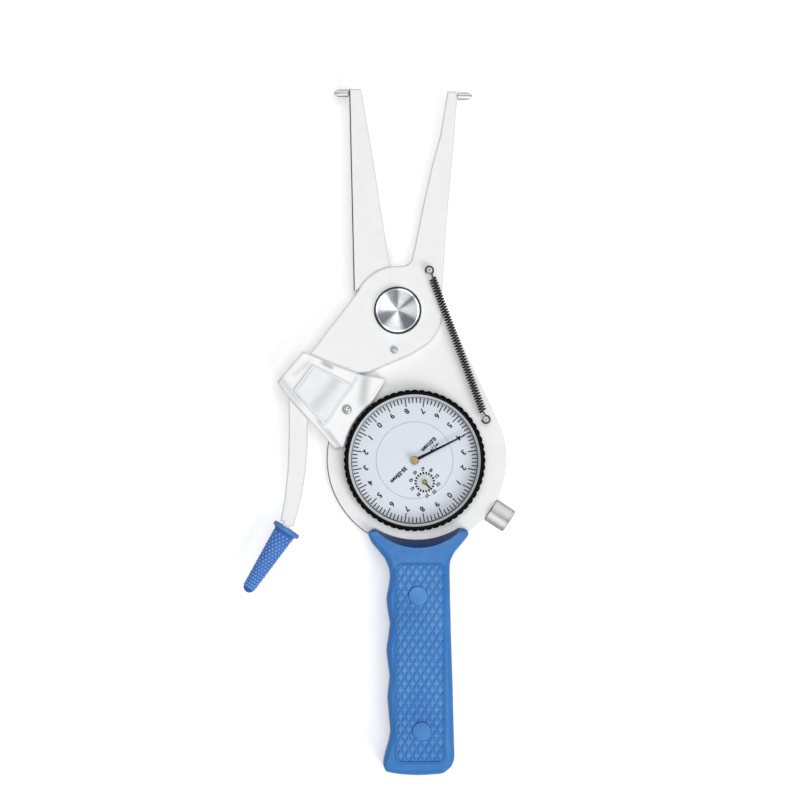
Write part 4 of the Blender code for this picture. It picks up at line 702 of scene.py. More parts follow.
@dataclass(frozen=True)
class SheenSheet(Finish):
    """Satin silver-white sheet with brushed marks, painted shade along its folds and darker painted
    reflection bands.
    """

    colour: Colour
    shade: Colour
    turn: float
    streaks: tuple[ShadeStreak, ...]
    roughness: float = 0.36
    depth: float = 0.006 * MM
    edge_radius: float = 0.5 * MM
    corner_shade_reach: float = 1.2 * MM

    def wire(self, graph: SurfaceGraph) -> None:
        """Lay the sheet's finish out in a graph.

        Args:
            graph: Graph that the nodes go into.
        """
        total: object = 0.0
        for streak in self.streaks:
            total = graph.calc("MAXIMUM", total, streak.mask(graph))
        fine = graph.noise(500, 3, graph.mapped((12, 0.6, 12), self.turn))
        # Painted shade and painted reflection bands from the streaks.
        base = graph.mix(total, self.colour, self.shade)
        base = graph.mix(graph.spread(fine, 0.35, 0.75, 0, 0.12), base, self.shade)
        # Painted shade in corners and gaps.
        graph.set("Base Color", graph.with_corner_shade(base, self.corner_shade_reach, 0.4, (120, 122, 126)))
        graph.set_roughness(self.roughness, 0.05, 0.07)
        graph.set_relief(fine, self.depth, graph.bevel(self.edge_radius))


# Shares across the knob and the pins with the greys of their painted reflection bands.
KNOB_REFLECTION_STOPS = ((0.0, 140), (0.07, 172), (0.2, 232), (0.32, 246), (0.43, 190), (0.48, 140), (0.56, 172),
              (0.7, 224), (0.86, 230), (0.95, 178), (1.0, 140))
PIN_REFLECTION_STOPS = ((0.0, 96), (0.09, 150), (0.16, 228), (0.4, 244), (0.47, 120), (0.53, 84), (0.6, 232),
             (0.84, 236), (0.91, 150), (1.0, 96))
# Painted shade along the guard's folds.
GUARD_SHADE_STREAKS = (
    ShadeStreak((-13.4, -32.0), 84, 9.0, 3.4, 0.6), ShadeStreak((-28.1, -21.8), -28, 3.6, 1.5, 0.85),
    ShadeStreak((-43.4, -31.4), -50, 11.0, 2.6, 0.4), ShadeStreak((-25.4, -51.4), -52, 7.0, 1.5, 0.6),
    ShadeStreak((-29.4, -47.2), -52, 6.0, 1.2, 0.4), ShadeStreak((-38.0, -23.0), 40, 6.0, 1.6, 0.3),
    ShadeStreak((-17.5, -28.6), 60, 4.0, 1.4, 0.35),
)
# Painted reflection bands and painted shade along the edge of the bare panel.
PANEL_SHADE_STREAKS = (
    ShadeStreak((-28.3, -32.6), 50, 15.0, 4.0, 0.5), ShadeStreak((-37.4, -27.0), 53, 9.0, 1.8, 0.7),
    ShadeStreak((-35.2, -39.2), -48, 10.0, 1.3, 0.6), ShadeStreak((-21.6, -36.0), 60, 7.0, 1.4, 0.45),
    ShadeStreak((-28.6, -45.2), 10, 4.0, 2.2, 0.5),
)
# Headings and half widths in degrees of the painted reflection rays on the pivot cap.
CAP_REFLECTION_RAYS = ((4, 40), (66, 30), (157, 40), (257, 42))
# The third colour of each paint is the painted shade laid in its corners.
WHITE = Paint("white_stoved_paint", (240, 240, 240), (234, 234, 235), (128, 130, 134))
# The frame carries a painted shade line on its lower-left edges, turned away from the light.
WHITE_FRAME = Paint("white_frame_paint", (240, 240, 240), (234, 234, 235), (128, 130, 134),
                    shade_line_heading=math.radians(205))
WHITE_BACK = Paint("white_cover_paint", (238, 238, 238), (228, 229, 231), (120, 122, 126), roughness=0.44)
# The lighter edge colour of this black paint is a painted highlight.
BEZEL_BLACK = Paint("satin_black", (5, 5, 6), (9, 9, 10), (3, 3, 3), roughness=0.42, edge_radius=0.3 * MM,
                    edge_share=0.05, edge=(60, 61, 65), corner_shade_share=0.0, ior=1.14)
# Black for the ring of painted shade round the pivot cap; its lighter edges are a painted highlight.
SHADE_RING_BLACK = Paint("shade_ring_black", (34, 35, 38), (52, 53, 56), (20, 20, 22), roughness=0.5,
                     edge_radius=0.1 * MM, edge_share=0.2, corner_shade_share=0.3)
INK = Paint("dial_ink", (22, 26, 34), (30, 34, 42), (20, 24, 30), roughness=0.5, edge_radius=0.02 * MM,
            edge_share=0.0, corner_shade_share=0.0, ior=1.14)
INK_FINE = Paint("dial_line_grey", (176, 184, 196), (182, 190, 200), (150, 158, 170), roughness=0.5,
                 edge_radius=0.02 * MM, edge_share=0.0, corner_shade_share=0.0)
# The lighter edge colour of this black paint is a painted highlight.
POINTER_BLACK = Paint("pointer_black", (8, 8, 9), (16, 16, 18), (6, 6, 6), edge_radius=0.05 * MM,
                      edge_share=0.2, edge=(40, 40, 44), corner_shade_share=0.0, ior=1.14)
# The handle gets painted shade on its scoop faces, turned away from the light.
HANDLE_BLUE = Plastic("blue_moulding", (44, 114, 186), (62, 134, 202), (12, 54, 118), shade_share=0.92,
                      shade_within=((8.2 * MM, 0), 16.4 * MM))
# The panel gets painted shade on diamond slopes turned from the light and painted light on those turned to
# it.
PANEL_BLUE = Plastic("blue_grip_panel", (46, 114, 186), (104, 170, 234), (8, 48, 114),
                     shade_facing=(-0.5, 0.866, 0), facing_span=(0.1, 0.45), shade_share=0.95, painted_light_share=0.9)
# The grip gets a painted highlight on its raised dots and flange.
GRIP_BLUE = Plastic("blue_rubber_dots", (20, 70, 152), (104, 160, 234), (12, 44, 108), roughness=0.5,
                    grain=1800, depth=0.01 * MM, raised="raised")
LINER_GREY = Plastic("grey_liner_plastic", (206, 210, 215), (222, 225, 229), (92, 96, 102), grain=900,
                     depth=0.004 * MM)
STEEL = Metal("fine_turned_steel", (206, 208, 211), (160, 163, 168))
SCREW_STEEL = Metal("screw_steel", (180, 182, 186), (120, 122, 126), 0.3)
POST_STEEL = Metal("spring_post_steel", (126, 127, 131), (78, 79, 83), 0.3)
PIN_STEEL = Metal("polished_pin_steel", (222, 223, 225), (188, 190, 194), 0.14, stretch=(14, 1, 14),
                  marks=300, depth=0.003 * MM)
WIRE_BLACK = Metal("blackened_spring_wire", (52, 52, 56), (24, 24, 27), 0.3, stretch=(6, 6, 6), marks=700,
                   depth=0.003 * MM)
MOVEMENT_BRASS = Metal("movement_brass", (202, 172, 100), (176, 146, 80), 0.3)
HUB_BRASS = Metal("pointer_hub_brass", (158, 136, 98), (104, 86, 58), 0.34)
HUB_GREY = Metal("counter_hub_bronze", (112, 110, 88), (84, 82, 66), 0.34)
BUSH_BRONZE = Metal("bush_bronze", (170, 128, 84), (142, 104, 66), 0.36)
CAP_STEEL = SpunMetal("spun_pivot_face", (215, 217, 220), (106, 109, 114), CAP_REFLECTION_RAYS)
DIAL_WHITE = Enamel("dial_enamel_blue_white", (231, 238, 248), (227, 235, 245))
COUNTER_WHITE = Enamel("counter_window_enamel", (218, 224, 224), (210, 216, 216))
CRYSTAL = ClearCrystal("crystal_clear")
GUARD_SHEET = SheenSheet("guard_satin_sheet", (243, 243, 244), (150, 152, 156), math.radians(-35),
                         GUARD_SHADE_STREAKS)
PANEL_SHEET = SheenSheet("guard_panel_sheet", (234, 235, 236), (176, 177, 180), math.radians(-36),
                         PANEL_SHADE_STREAKS)


def circle(centre: Flat, radius: float, steps: int) -> list[Flat]:
    """Return evenly spaced points of a circle."""
    return [polar(centre, radius, TAU * step / steps) for step in range(steps)]


def at_level(outline: Sequence[Flat], level: float) -> list[Place]:
    """Lift a flat outline to a level."""
    return [(x, y, level) for x, y in outline]


def near(table: Table, radius: float = 0.0, level: float = 0.0) -> list[Flat]:
    """Turn offsets in millimetres into points near a radius and a level in metres."""
    return [(radius + out * MM, level + up * MM) for out, up in table]


def rim_curve(radius: float, level: float, edge: float, steps: int = 6) -> list[Flat]:
    """Return the rounded corner of a turned profile, from its side to its face.

    Args:
        radius: Radius of the side.
        level: Height of the face.
        edge: Radius of the corner.
        steps: Number of parts of the curve.

    Returns:
        Radius and height pairs.
    """
    turns = [math.pi / 2 * step / steps for step in range(steps + 1)]
    return [(radius - edge + edge * math.cos(turn), level - edge + edge * math.sin(turn)) for turn in turns]


class Maker:
    """Mesh work shared by the gauge's sub-assemblies."""

    @staticmethod
    def mesh(name: str, points: Sequence[Sequence[float]], faces: Sequence[Sequence[int]],
             smooth: bool = True) -> Piece:
        """Make an object from points and faces.

        Args:
            name: Name of the object.
            points: Vertices in metres.
            faces: Corner indices of each face.
            smooth: Whether its curved faces are smoothed.

        Returns:
            The new object.
        """
        data = bpy.data.meshes.new(name)
        data.from_pydata([tuple(point) for point in points], [], [list(face) for face in faces])
        work = bmesh.new()
        work.from_mesh(data)
        bmesh.ops.remove_doubles(work, verts=work.verts, dist=MERGE)
        bmesh.ops.recalc_face_normals(work, faces=work.faces)
        work.to_mesh(data)
        work.free()
        piece = bpy.data.objects.new(name, data)
        bpy.context.scene.collection.objects.link(piece)
        if smooth:
            Maker.smooth(piece)
        return piece

    @staticmethod
    def smooth(piece: Piece) -> None:
        """Shade a piece smooth between its sharp edges."""
        piece.data.shade_smooth()
        piece.data.set_sharp_from_angle(angle=SMOOTH_ANGLE)

    @staticmethod
    def lofted(name: str, rings: Sequence[Sequence[Sequence[float]]], caps: bool = True,
               looped: bool = False) -> Piece:
        """Join a stack of closed rings of equal length.

        Args:
            name: Name of the object.
            rings: Rings of points, from one end to the other.
            caps: Whether both ends are closed.
            looped: Whether the last ring joins the first.

        Returns:
            The new object.
        """
        count = len(rings[0])
        points = [point for ring in rings for point in ring]
        faces: list[list[int]] = []
        stack = len(rings) if looped else len(rings) - 1
        for level in range(stack):
            low, high = level * count, (level + 1) % len(rings) * count
            for index in range(count):
                after = (index + 1) % count
                faces.append([low + index, low + after, high + after, high + index])
        if caps and not looped:
            faces.append(list(reversed(range(count))))
            faces.append([(len(rings) - 1) * count + index for index in range(count)])
        return Maker.mesh(name, points, faces)

    @staticmethod
    def turned(name: str, profile: Sequence[Flat], steps: int, place: Matrix,
               looped: bool = False) -> Piece:
        """Spin a (radius, height) profile about the Z axis of a placing matrix.

        Args:
            name: Name of the object.
            profile: Radius and height pairs in metres.
            steps: Number of facets round the axis.
            place: Matrix that puts the piece in the row frame.
            looped: Whether the profile closes on itself.

        Returns:
            The new object.
        """
        rings = []
        for radius, level in profile:
            rings.append([place @ Vector(spot) for spot in at_level(circle((0, 0), radius, steps), level)])
        return Maker.lofted(name, rings, not looped, looped)

    @staticmethod
    def plate(name: str, outline: Sequence[Flat], rear: float, front: float) -> Piece:
        """Raise a flat plate from an outline."""
        return Maker.lofted(name, [at_level(outline, rear), at_level(outline, front)])

    @staticmethod
    def tube(name: str, path: Sequence[Vector], radius: float, sides: int) -> Piece:
        """Sweep a round wire along a path.

        Args:
            name: Name of the object.
            path: Points of the centre line.
            radius: Radius of the wire.
            sides: Number of facets round it.

        Returns:
            The new object.
        """
        rings = []
        normal = Vector((0, 0, 1))
        for index, point in enumerate(path):
            ahead = path[min(index + 1, len(path) - 1)] - path[max(index - 1, 0)]
            ahead.normalize()
            normal = (normal - ahead * normal.dot(ahead)).normalized()
            side = ahead.cross(normal)
            turns = [TAU * step / sides for step in range(sides)]
            spokes = [normal * math.cos(turn) + side * math.sin(turn) for turn in turns]
            rings.append([point + radius * spoke for spoke in spokes])
        return Maker.lofted(name, rings)

    @staticmethod
    def apply_boolean(piece: Piece, other: Piece, operation: str) -> None:
        """Cut or join a piece with another one, which is then removed.

        Args:
            piece: Piece that is changed.
            other: Cutter or added shape.
            operation: DIFFERENCE, UNION or INTERSECT.
        """
        modifier = piece.modifiers.new("work", "BOOLEAN")
        modifier.operation = operation
        modifier.solver = "EXACT"
        modifier.object = other
        Maker.apply_modifiers(piece)
        bpy.data.objects.remove(other)

    @staticmethod
    def apply_modifiers(piece: Piece) -> None:
        """Bake a piece's modifiers into its mesh."""
        bpy.context.view_layer.update()
        graph = bpy.context.evaluated_depsgraph_get()
        baked = bpy.data.meshes.new_from_object(piece.evaluated_get(graph))
        piece.modifiers.clear()
        piece.data = baked
        Maker.smooth(piece)


def upright(centre: Flat, level: float = 0.0) -> Matrix:
    """Return the place of an upright axis through a point."""
    return Matrix.Translation((centre[0], centre[1], level))


def lying(point: Sequence[float], heading: float) -> Matrix:
    """Return the place of an axis that lies along a heading."""
    axis = Vector((math.cos(heading), math.sin(heading), 0))
    turn = axis.to_track_quat("Z", "Y").to_matrix().to_4x4()
    return Matrix.Translation(point) @ turn


def settle(piece: Piece, body: Body, finish: Finish,
           stands_for: Sequence[str] = ()) -> Piece:
    """Dress a piece and put it on its body.

    Args:
        piece: Piece in its place in the row frame.
        body: Body that it rides on.
        finish: Finish that it gets.
        stands_for: CAD nodes that it replaces.

    Returns:
        The same piece.
    """
    piece.data.materials.clear()
    piece.data.materials.append(finish.material())
    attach(piece, body.value)
    if stands_for:
        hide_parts(*stands_for)
    return piece


def dress(finish: Finish, *names: str) -> list[str]:
    """Give carried-over CAD nodes a finish.

    Args:
        finish: Finish that they get.
        names: Names of the nodes.

    Returns:
        The names of the nodes.
    """
    for name in names:
        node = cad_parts[name]
        node.data.materials.clear()
        node.data.materials.append(finish.material())
    return list(names)


def box_middle(name: str) -> Vector:
    """Return the middle of a CAD node's box."""
    low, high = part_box(name)
    return (low + high) / 2


def spot_of(name: str) -> Flat:
    """Return the middle of a CAD node's box, seen from above."""
    middle = box_middle(name)
    return (middle.x, middle.y)


@dataclass
class PaintedCastings:
    """The white frame casting, its rear cover and the measuring arm."""

    frames: tuple[str, ...] = ("main_frame",)
    arms: tuple[str, ...] = ("measuring_arm",)
    covers: tuple[str, ...] = ("rear_cover",)

    def build(self) -> list[str]:
        """Dress the castings and return their names."""
        names = dress(WHITE_FRAME, *self.frames) + dress(WHITE, *self.arms)
        return names + dress(WHITE_BACK, *self.covers)


@dataclass
class ContactPins:
    """The two hard steel pins that touch the bore."""

    radius: float = 1.48 * MM
    seat_radius: float = 1.0 * MM
    seat_depth: float = 2.8 * MM
    nose: float = 2.6 * MM
    nose_power: float = 0.8
    nose_steps: int = 12
    fit: float = 0.3 * MM
    edge: float = 0.12 * MM
    steps: int = 48

    def profile(self, reach: float) -> list[Flat]:
        """Return the pin's turned profile with its rounded nose.

        Args:
            reach: Length from the leg to the tip.

        Returns:
            Radius and height pairs.
        """
        start = reach - self.nose
        points = [(0, -self.seat_depth), (self.seat_radius, -self.seat_depth), (self.seat_radius, self.fit),
                  (self.radius - self.edge, self.fit), (self.radius, self.fit + self.edge)]
        for step in range(self.nose_steps):
            turn = math.pi / 2 * step / self.nose_steps
            radius = self.radius * math.cos(turn) ** self.nose_power
            points.append((radius, start + self.nose * math.sin(turn)))
        return [*points, (0, reach)]

    def build(self) -> list[str]:
        """Turn both pins.

        Returns:
            The names of the pieces.
        """
        names = []
        for node, body, heading in (("fixed_contact_pin", Body.FRAME, math.pi),
                                    ("moving_contact_pin", Body.ARM, 0.0)):
            low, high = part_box(node)
            middle = box_middle(node)
            start = low.x + self.seat_depth if heading == 0 else high.x - self.seat_depth
            profile = self.profile(high.x - low.x - self.seat_depth)
            place = lying((start, middle.y, middle.z), heading)
            pin = Maker.turned(node + "_turned", profile, self.steps, place)
            # The pin's finish carries painted reflection bands.
            reflection_finish = BandedMetal(node + "_ground", (start, middle.y), heading, self.radius, PIN_REFLECTION_STOPS)
            settle(pin, body, reflection_finish, (node,))
            names.append(pin.name)
        return names


@dataclass
class PivotSet:
    """The spun pivot cap, its spindle and bush, and the small drive screw."""

    lip: float = 0.45 * MM
    rear_edge: float = 0.2 * MM
    boss_radius: float = 17.72 * MM
    ring_gaps: Flat = (-0.12 * MM, 0.25 * MM)
    ring_depths: Flat = (3.0 * MM, 0.5 * MM)
    ring_angles: Flat = (97, 150)
    ring_steps: int = 30
    steps: int = 96

    # Offsets in millimetres: from the cap's rim and face, from its axis and face, from its rim and rear.
    SHOULDER = ((-0.8, 0.0), (-1.0, -0.12))
    PIT = ((0.5, -0.2), (0.25, -0.32), (0.0, -0.34))
    SHADE_RING = ((-0.55, -0.25), (0.55, -0.25), (0.55, 0.35), (0.35, 0.5), (-0.55, -0.05))

    def cap(self) -> Piece:
        """Turn the cap with its rounded rim and shallow dished face.

        Returns:
            The cap.
        """
        low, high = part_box("pivot_cap")
        radius = (high.x - low.x) / 2
        profile = [(0, low.z), (radius - self.rear_edge, low.z), (radius, low.z + self.rear_edge),
                   *rim_curve(radius, high.z, self.lip), *near(self.SHOULDER, radius, high.z),
                   *near(self.PIT, level=high.z)]
        cap = Maker.turned("pivot_cap_spun", profile, self.steps, Matrix.Identity(4))
        return settle(cap, Body.ARM, CAP_STEEL, ("pivot_cap",))

    def painted_shade_ring(self) -> Piece:
        """Turn the dark ring of painted shade that stands for the shadowed gap round the cap.

        Returns:
            The ring.
        """
        low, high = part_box("pivot_cap")
        profile = near(self.SHADE_RING, (high.x - low.x) / 2, low.z)
        ring = Maker.turned("pivot_shade_ring", profile, self.steps, Matrix.Identity(4), True)
        # A dark piece of painted shade where only the gap's shade lies.
        return settle(ring, Body.ARM, SHADE_RING_BLACK)

    def slit_filler(self) -> Piece:
        """Raise the thin white ring that fills the slit round the boss, painted light that keeps the slit's
        shade from showing.

        Returns:
            The ring.
        """
        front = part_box("measuring_arm")[1].z
        inner, outer = (self.boss_radius + gap for gap in self.ring_gaps)
        rear, face = (front - depth for depth in self.ring_depths)
        first, last = (math.radians(angle) for angle in self.ring_angles)
        turns = [first + (last - first) * step / self.ring_steps for step in range(self.ring_steps + 1)]
        outline = [polar((0, 0), outer, turn) for turn in turns]
        outline += [polar((0, 0), inner, turn) for turn in reversed(turns)]
        ring = Maker.plate("boss_slit_filler", outline, rear, face)
        # A white piece of painted light over the slit's shade.
        return settle(ring, Body.ARM, WHITE)

    def build(self) -> list[str]:
        """Turn the cap and dress the pieces under it.

        Returns:
            The names of the pieces.
        """
        screw = ScrewHead("drive_screw", Body.ARM, head_radius=1.4 * MM, head_height=0.8 * MM).build()
        names = dress(PIN_STEEL, "pivot_spindle") + dress(BUSH_BRONZE, "pivot_bush")
        rings = [self.painted_shade_ring().name, self.slit_filler().name]
        return [self.cap().name, *rings, screw.name, *names]


@dataclass
class ScrewHead:
    """A small screw with a domed head and a cut cross."""

    node: str
    body: Body
    head_radius: float
    head_height: float
    shank_radius: float = 0.9 * MM
    front: bool = True
    steps: int = 40
    dome_share: float = 0.55
    dome_steps: int = 6
    cross_half: float = 0.72
    cross_thick: float = 0.22
    cross_turn: float = 0.6
    cross_depth: float = 0.75
    cross_tapers: Flat = (0.5, 1.2)

    def build(self) -> Piece:
        """Turn the screw and cut its cross.

        Returns:
            The finished screw.
        """
        low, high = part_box(self.node)
        length = high.z - low.z
        shoulder = length - self.head_height
        dome = self.head_height * self.dome_share
        profile = [(0, 0), (self.shank_radius, 0), (self.shank_radius, shoulder),
                   (self.head_radius, shoulder)]
        for step in range(self.dome_steps):
            turn = math.pi / 2 * step / self.dome_steps
            profile.append((self.head_radius * math.cos(turn), length - dome * (1 - math.sin(turn))))
        profile.append((0, length))
        flip = Matrix.Identity(4) if self.front else Matrix.Rotation(math.pi, 4, "X")
        place = upright(spot_of(self.node), low.z if self.front else high.z) @ flip
        screw = Maker.turned(self.node + "_turned", profile, self.steps, place)
        self.cut_cross(screw, place, length)
        return settle(screw, self.body, SCREW_STEEL, (self.node,))

    def cut_cross(self, screw: Piece, place: Matrix, length: float) -> None:
        """Cut the cross into the head.

        Args:
            screw: Screw that is cut.
            place: Matrix of the screw's own frame.
            length: Length of the screw.
        """
        half, thick = self.head_radius * self.cross_half, self.head_radius * self.cross_thick
        levels = (length - self.head_height * self.cross_depth, length + self.head_height)
        for turn in (self.cross_turn, self.cross_turn + math.pi / 2):
            spun = place @ Matrix.Rotation(turn, 4, "Z")
            rings = []
            for level, taper in zip(levels, self.cross_tapers):
                x, y = half * taper, thick * taper
                corners = at_level([(-x, -y), (x, -y), (x, y), (-x, y)], level)
                rings.append([spun @ Vector(corner) for corner in corners])
            Maker.apply_boolean(screw, Maker.lofted("drive_cutter", rings), "DIFFERENCE")


@dataclass
class LeverGuard:
    """The satin guard over the lever, its bare panel, panel rim and screw."""

    span: Flat = (48.2 * MM, 54.8 * MM)
    corner: float = 1.4 * MM
    corner_steps: int = 4
    bite_radius: float = 28.55 * MM
    bite_start: float = 169.5
    bite_sweep: float = 42.5
    bite_steps: int = 14
    panel_corner: float = 2.2 * MM
    panel_corner_steps: int = 6
    panel_inset: float = 0.65 * MM
    rim_sink: float = 0.1 * MM

    # Corners as shares of the span.
    SHEET = ((-0.091, -0.496), (-0.309, -0.466), (-0.512, -0.399), (-0.640, -0.350), (-0.781, -0.299),
             (-0.998, -0.522), (-0.911, -0.624), (-0.745, -0.788), (-0.594, -0.931), (-0.527, -1.001))
    PANEL = ((-0.703, -0.395), (-0.861, -0.581), (-0.600, -0.848), (-0.545, -0.775), (-0.477, -0.676),
             (-0.362, -0.545))
    PANEL_SHARES = (0.35, 0.35, 1.0, 1.0, 1.0, 1.0)

    # Insets from the outline and lifts from the front face, in millimetres.
    FOLDS = ((0.0, -1.35), (0.0, -0.6), (0.06, -0.36), (0.2, -0.15), (0.42, -0.01), (0.6, 0.05), (0.72, 0.06))
    PANEL_EDGE = ((0.0, -0.15), (0.04, -0.1))
    RIM = ((0.0, -0.1), (0.15, 0.05), (0.7, 0.05), (0.88, -0.08))

    def spread_out(self, shares: Table) -> list[Flat]:
        """Turn shares of the span into points."""
        return [(x * self.span[0], y * self.span[1]) for x, y in shares]

    def skin(self) -> Piece:
        """Loft the guard's pressed front sheet with its soft folds.

        Returns:
            The sheet.
        """
        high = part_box("lever_guard")[1].z
        points = self.spread_out(self.SHEET)
        for step in range(self.bite_steps + 1):
            angle = math.radians(self.bite_start - self.bite_sweep * step / self.bite_steps)
            points.append(polar(DIAL_CENTRE, self.bite_radius, angle))
        outline = round_corners(points, self.corner, self.corner_steps)
        rings = [at_level(shrink(outline, inset), level) for inset, level in near(self.FOLDS, level=high)]
        sheet = Maker.lofted("lever_guard_sheet", rings)
        return settle(sheet, Body.FRAME, GUARD_SHEET)

    def panel(self, outline: Sequence[Flat]) -> Piece:
        """Loft the bare panel.

        Args:
            outline: Outline of the panel with its rim.

        Returns:
            The panel.
        """
        low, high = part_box("guard_panel")
        inner = shrink(outline, self.panel_inset)
        rings = [at_level(inner, low.z)]
        for inset, level in near(self.PANEL_EDGE, level=high.z):
            rings.append(at_level(shrink(inner, inset), level))
        panel = Maker.lofted("guard_panel_sheet", rings)
        return settle(panel, Body.FRAME, PANEL_SHEET, ("guard_panel",))

    def rim(self, outline: Sequence[Flat]) -> Piece:
        """Loft the raised rim round the panel.

        Args:
            outline: Outline of the panel with its rim.

        Returns:
            The rim.
        """
        low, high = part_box("guard_panel")
        front = near(self.RIM, level=high.z)
        rear = low.z - self.rim_sink
        sections = [(front[0][0], rear), *front, (front[-1][0], rear)]
        loops = [at_level(shrink(outline, inset), level) for inset, level in sections]
        rim = Maker.lofted("guard_panel_rim", loops, False, True)
        return settle(rim, Body.FRAME, WHITE)

    def build(self) -> list[str]:
        """Build the guard's pieces.

        Returns:
            The names of the pieces.
        """
        corners = self.spread_out(self.PANEL)
        outline = round_corners(corners, self.panel_corner, self.panel_corner_steps, self.PANEL_SHARES)
        panel, rim = self.panel(outline), self.rim(outline)
        screw = ScrewHead("guard_screw", Body.FRAME, head_radius=1.85 * MM, head_height=1.0 * MM).build()
        return [*dress(WHITE, "lever_guard"), self.skin().name, panel.name, rim.name, screw.name]


def shrink(outline: Sequence[Flat], distance: float) -> list[Flat]:
    """Move a counter-clockwise outline inward.

    Args:
        outline: Points of the outline.
        distance: Distance in metres.

    Returns:
        The moved points.
    """
    moved = []
    count = len(outline)
    for index in range(count):
        here = Vector(outline[index])
        first = (here - Vector(outline[index - 1])).normalized()
        second = (Vector(outline[(index + 1) % count]) - here).normalized()
        normal = Vector((-first.y - second.y, first.x + second.x))
        moved.append(tuple(here + normal * (distance / max(1 + first.dot(second), SHARP_LIMIT))))
    return moved


def round_corners(points: Sequence[Flat], radius: float, steps: int,
                  shares: Sequence[float] | None = None) -> list[Flat]:
    """Round a polygon's corners.

    Args:
        points: Corners of the polygon.
        radius: Distance from a corner at which its curve starts.
        steps: Number of parts in each curve.
        shares: Share of the radius at each corner.

    Returns:
        The rounded outline.
    """
    outline = []
    count = len(points)
    for index in range(count):
        here = Vector(points[index])
        reach = radius * (shares[index] if shares else 1.0)
        before = Vector(points[index - 1]) - here
        after = Vector(points[(index + 1) % count]) - here
        start = here + before.normalized() * min(reach, before.length * CORNER_REACH)
        end = here + after.normalized() * min(reach, after.length * CORNER_REACH)
        for step in range(steps + 1):
            share = step / steps
            spot = start * (1 - share) ** 2 + here * 2 * share * (1 - share) + end * share ** 2
            outline.append(tuple(spot))
    return outline


def through(points: Sequence[Flat], parts: int) -> list[Flat]:
    """Run a smooth closed curve through points.

    Args:
        points: Points that the curve meets.
        parts: Number of parts between two points.

    Returns:
        The points of the curve.
    """
    curve = []
    count = len(points)
    for index in range(count):
        p0, p1, p2, p3 = (Vector(points[(index + shift) % count]) for shift in (-1, 0, 1, 2))
        reach = (p2 - p1).length
        lead = (p2 - p0) * (reach / max((p2 - p0).length, reach)) * 0.5
        trail = (p3 - p1) * (reach / max((p3 - p1).length, reach)) * 0.5
        for step in range(parts):
            t = step / parts
            a, b = 2 * t ** 3 - 3 * t ** 2 + 1, t ** 3 - 2 * t ** 2 + t
            c, d = -2 * t ** 3 + 3 * t ** 2, t ** 3 - t ** 2
            curve.append(tuple(p1 * a + lead * b + p2 * c + trail * d))
    return curve


class Print:
    """Ink laid on the dial as thin raised strokes, in the dial's own reading frame."""

    THICKNESS = 0.03 * MM

    def __init__(self, centre: Flat, up: float, level: float) -> None:
        """Start an empty print.

        Args:
            centre: Middle of the dial in the row frame.
            up: Direction of the reading frame's up axis.
            level: Height of the surface under the ink.
        """
        turn = Matrix.Rotation(up - math.pi / 2, 4, "Z")
        self.place = upright(centre, level) @ turn
        self.points: list[Vector] = []
        self.faces: list[list[int]] = []

    def polygon(self, outline: Sequence[Flat]) -> None:
        """Add a filled outline.

        Args:
            outline: Corners in the reading frame.
        """
        start = len(self.points)
        count = len(outline)
        for level in (0.0, self.THICKNESS):
            self.points += [self.place @ Vector((x, y, level)) for x, y in outline]
        self.faces.append([start + count + index for index in range(count)])
        for index in range(count):
            after = (index + 1) % count
            self.faces.append([start + index, start + after, start + count + after, start + count + index])

    def spoke(self, inner: float, outer: float, angle: float, width: float,
              centre: Flat = (0, 0)) -> None:
        """Add a radial stroke.

        Args:
            inner: Radius of its inner end.
            outer: Radius of its outer end.
            angle: Its direction in the reading frame.
            width: Its width.
            centre: Point that it radiates from.
        """
        side = (-math.sin(angle) * width / 2, math.cos(angle) * width / 2)
        first, last = polar(centre, inner, angle), polar(centre, outer, angle)
        self.polygon([(first[0] - side[0], first[1] - side[1]), (last[0] - side[0], last[1] - side[1]),
                      (last[0] + side[0], last[1] + side[1]), (first[0] + side[0], first[1] + side[1])])

    def ring(self, radius: float, width: float, steps: int, centre: Flat = (0, 0)) -> None:
        """Add a thin circle."""
        inner, outer = radius - width / 2, radius + width / 2
        for step in range(steps):
            start, end = TAU * step / steps, TAU * (step + 1) / steps
            self.polygon([polar(centre, inner, start), polar(centre, outer, start),
                          polar(centre, outer, end), polar(centre, inner, end)])

    def text(self, words: str, middle: Flat, height: float, width: float | None = None,
             weight: float = 0.0) -> None:
        """Add upright characters.

        Args:
            words: Characters to set.
            middle: Middle of the line in the reading frame.
            height: Height of a digit.
            width: Width of the whole line, its natural one where none is given.
            weight: Amount by which the strokes are thickened.
        """
        curve = bpy.data.curves.new("setting", "FONT")
        curve.body = "6" if words == "9" else words
        curve.size = 1.0
        curve.offset = weight
        curve.resolution_u = 5
        holder = bpy.data.objects.new("setting", curve)
        bpy.context.scene.collection.objects.link(holder)
        bpy.context.view_layer.update()
        shown = holder.evaluated_get(bpy.context.evaluated_depsgraph_get())
        shape = bpy.data.meshes.new_from_object(shown)
        corners = [vertex.co.copy() for vertex in shape.vertices]
        low = Vector((min(c.x for c in corners), min(c.y for c in corners)))
        high = Vector((max(c.x for c in corners), max(c.y for c in corners)))
        scale_y = height / (high.y - low.y)
        scale_x = width / (high.x - low.x) if width else scale_y
        if words == "9":
            scale_x, scale_y = -scale_x, -scale_y
        centre = (low + high) / 2
        start = len(self.points)
        for corner in corners:
            x = (corner.x - centre.x) * scale_x + middle[0]
            y = (corner.y - centre.y) * scale_y + middle[1]
            self.points.append(self.place @ Vector((x, y, self.THICKNESS)))
        self.faces += [[start + index for index in face.vertices] for face in shape.polygons]
        bpy.data.objects.remove(holder)
        bpy.data.curves.remove(curve)
        bpy.data.meshes.remove(shape)

    def piece(self, name: str) -> Piece:
        """Turn the print into one piece."""
        return Maker.mesh(name, self.points, self.faces, False)


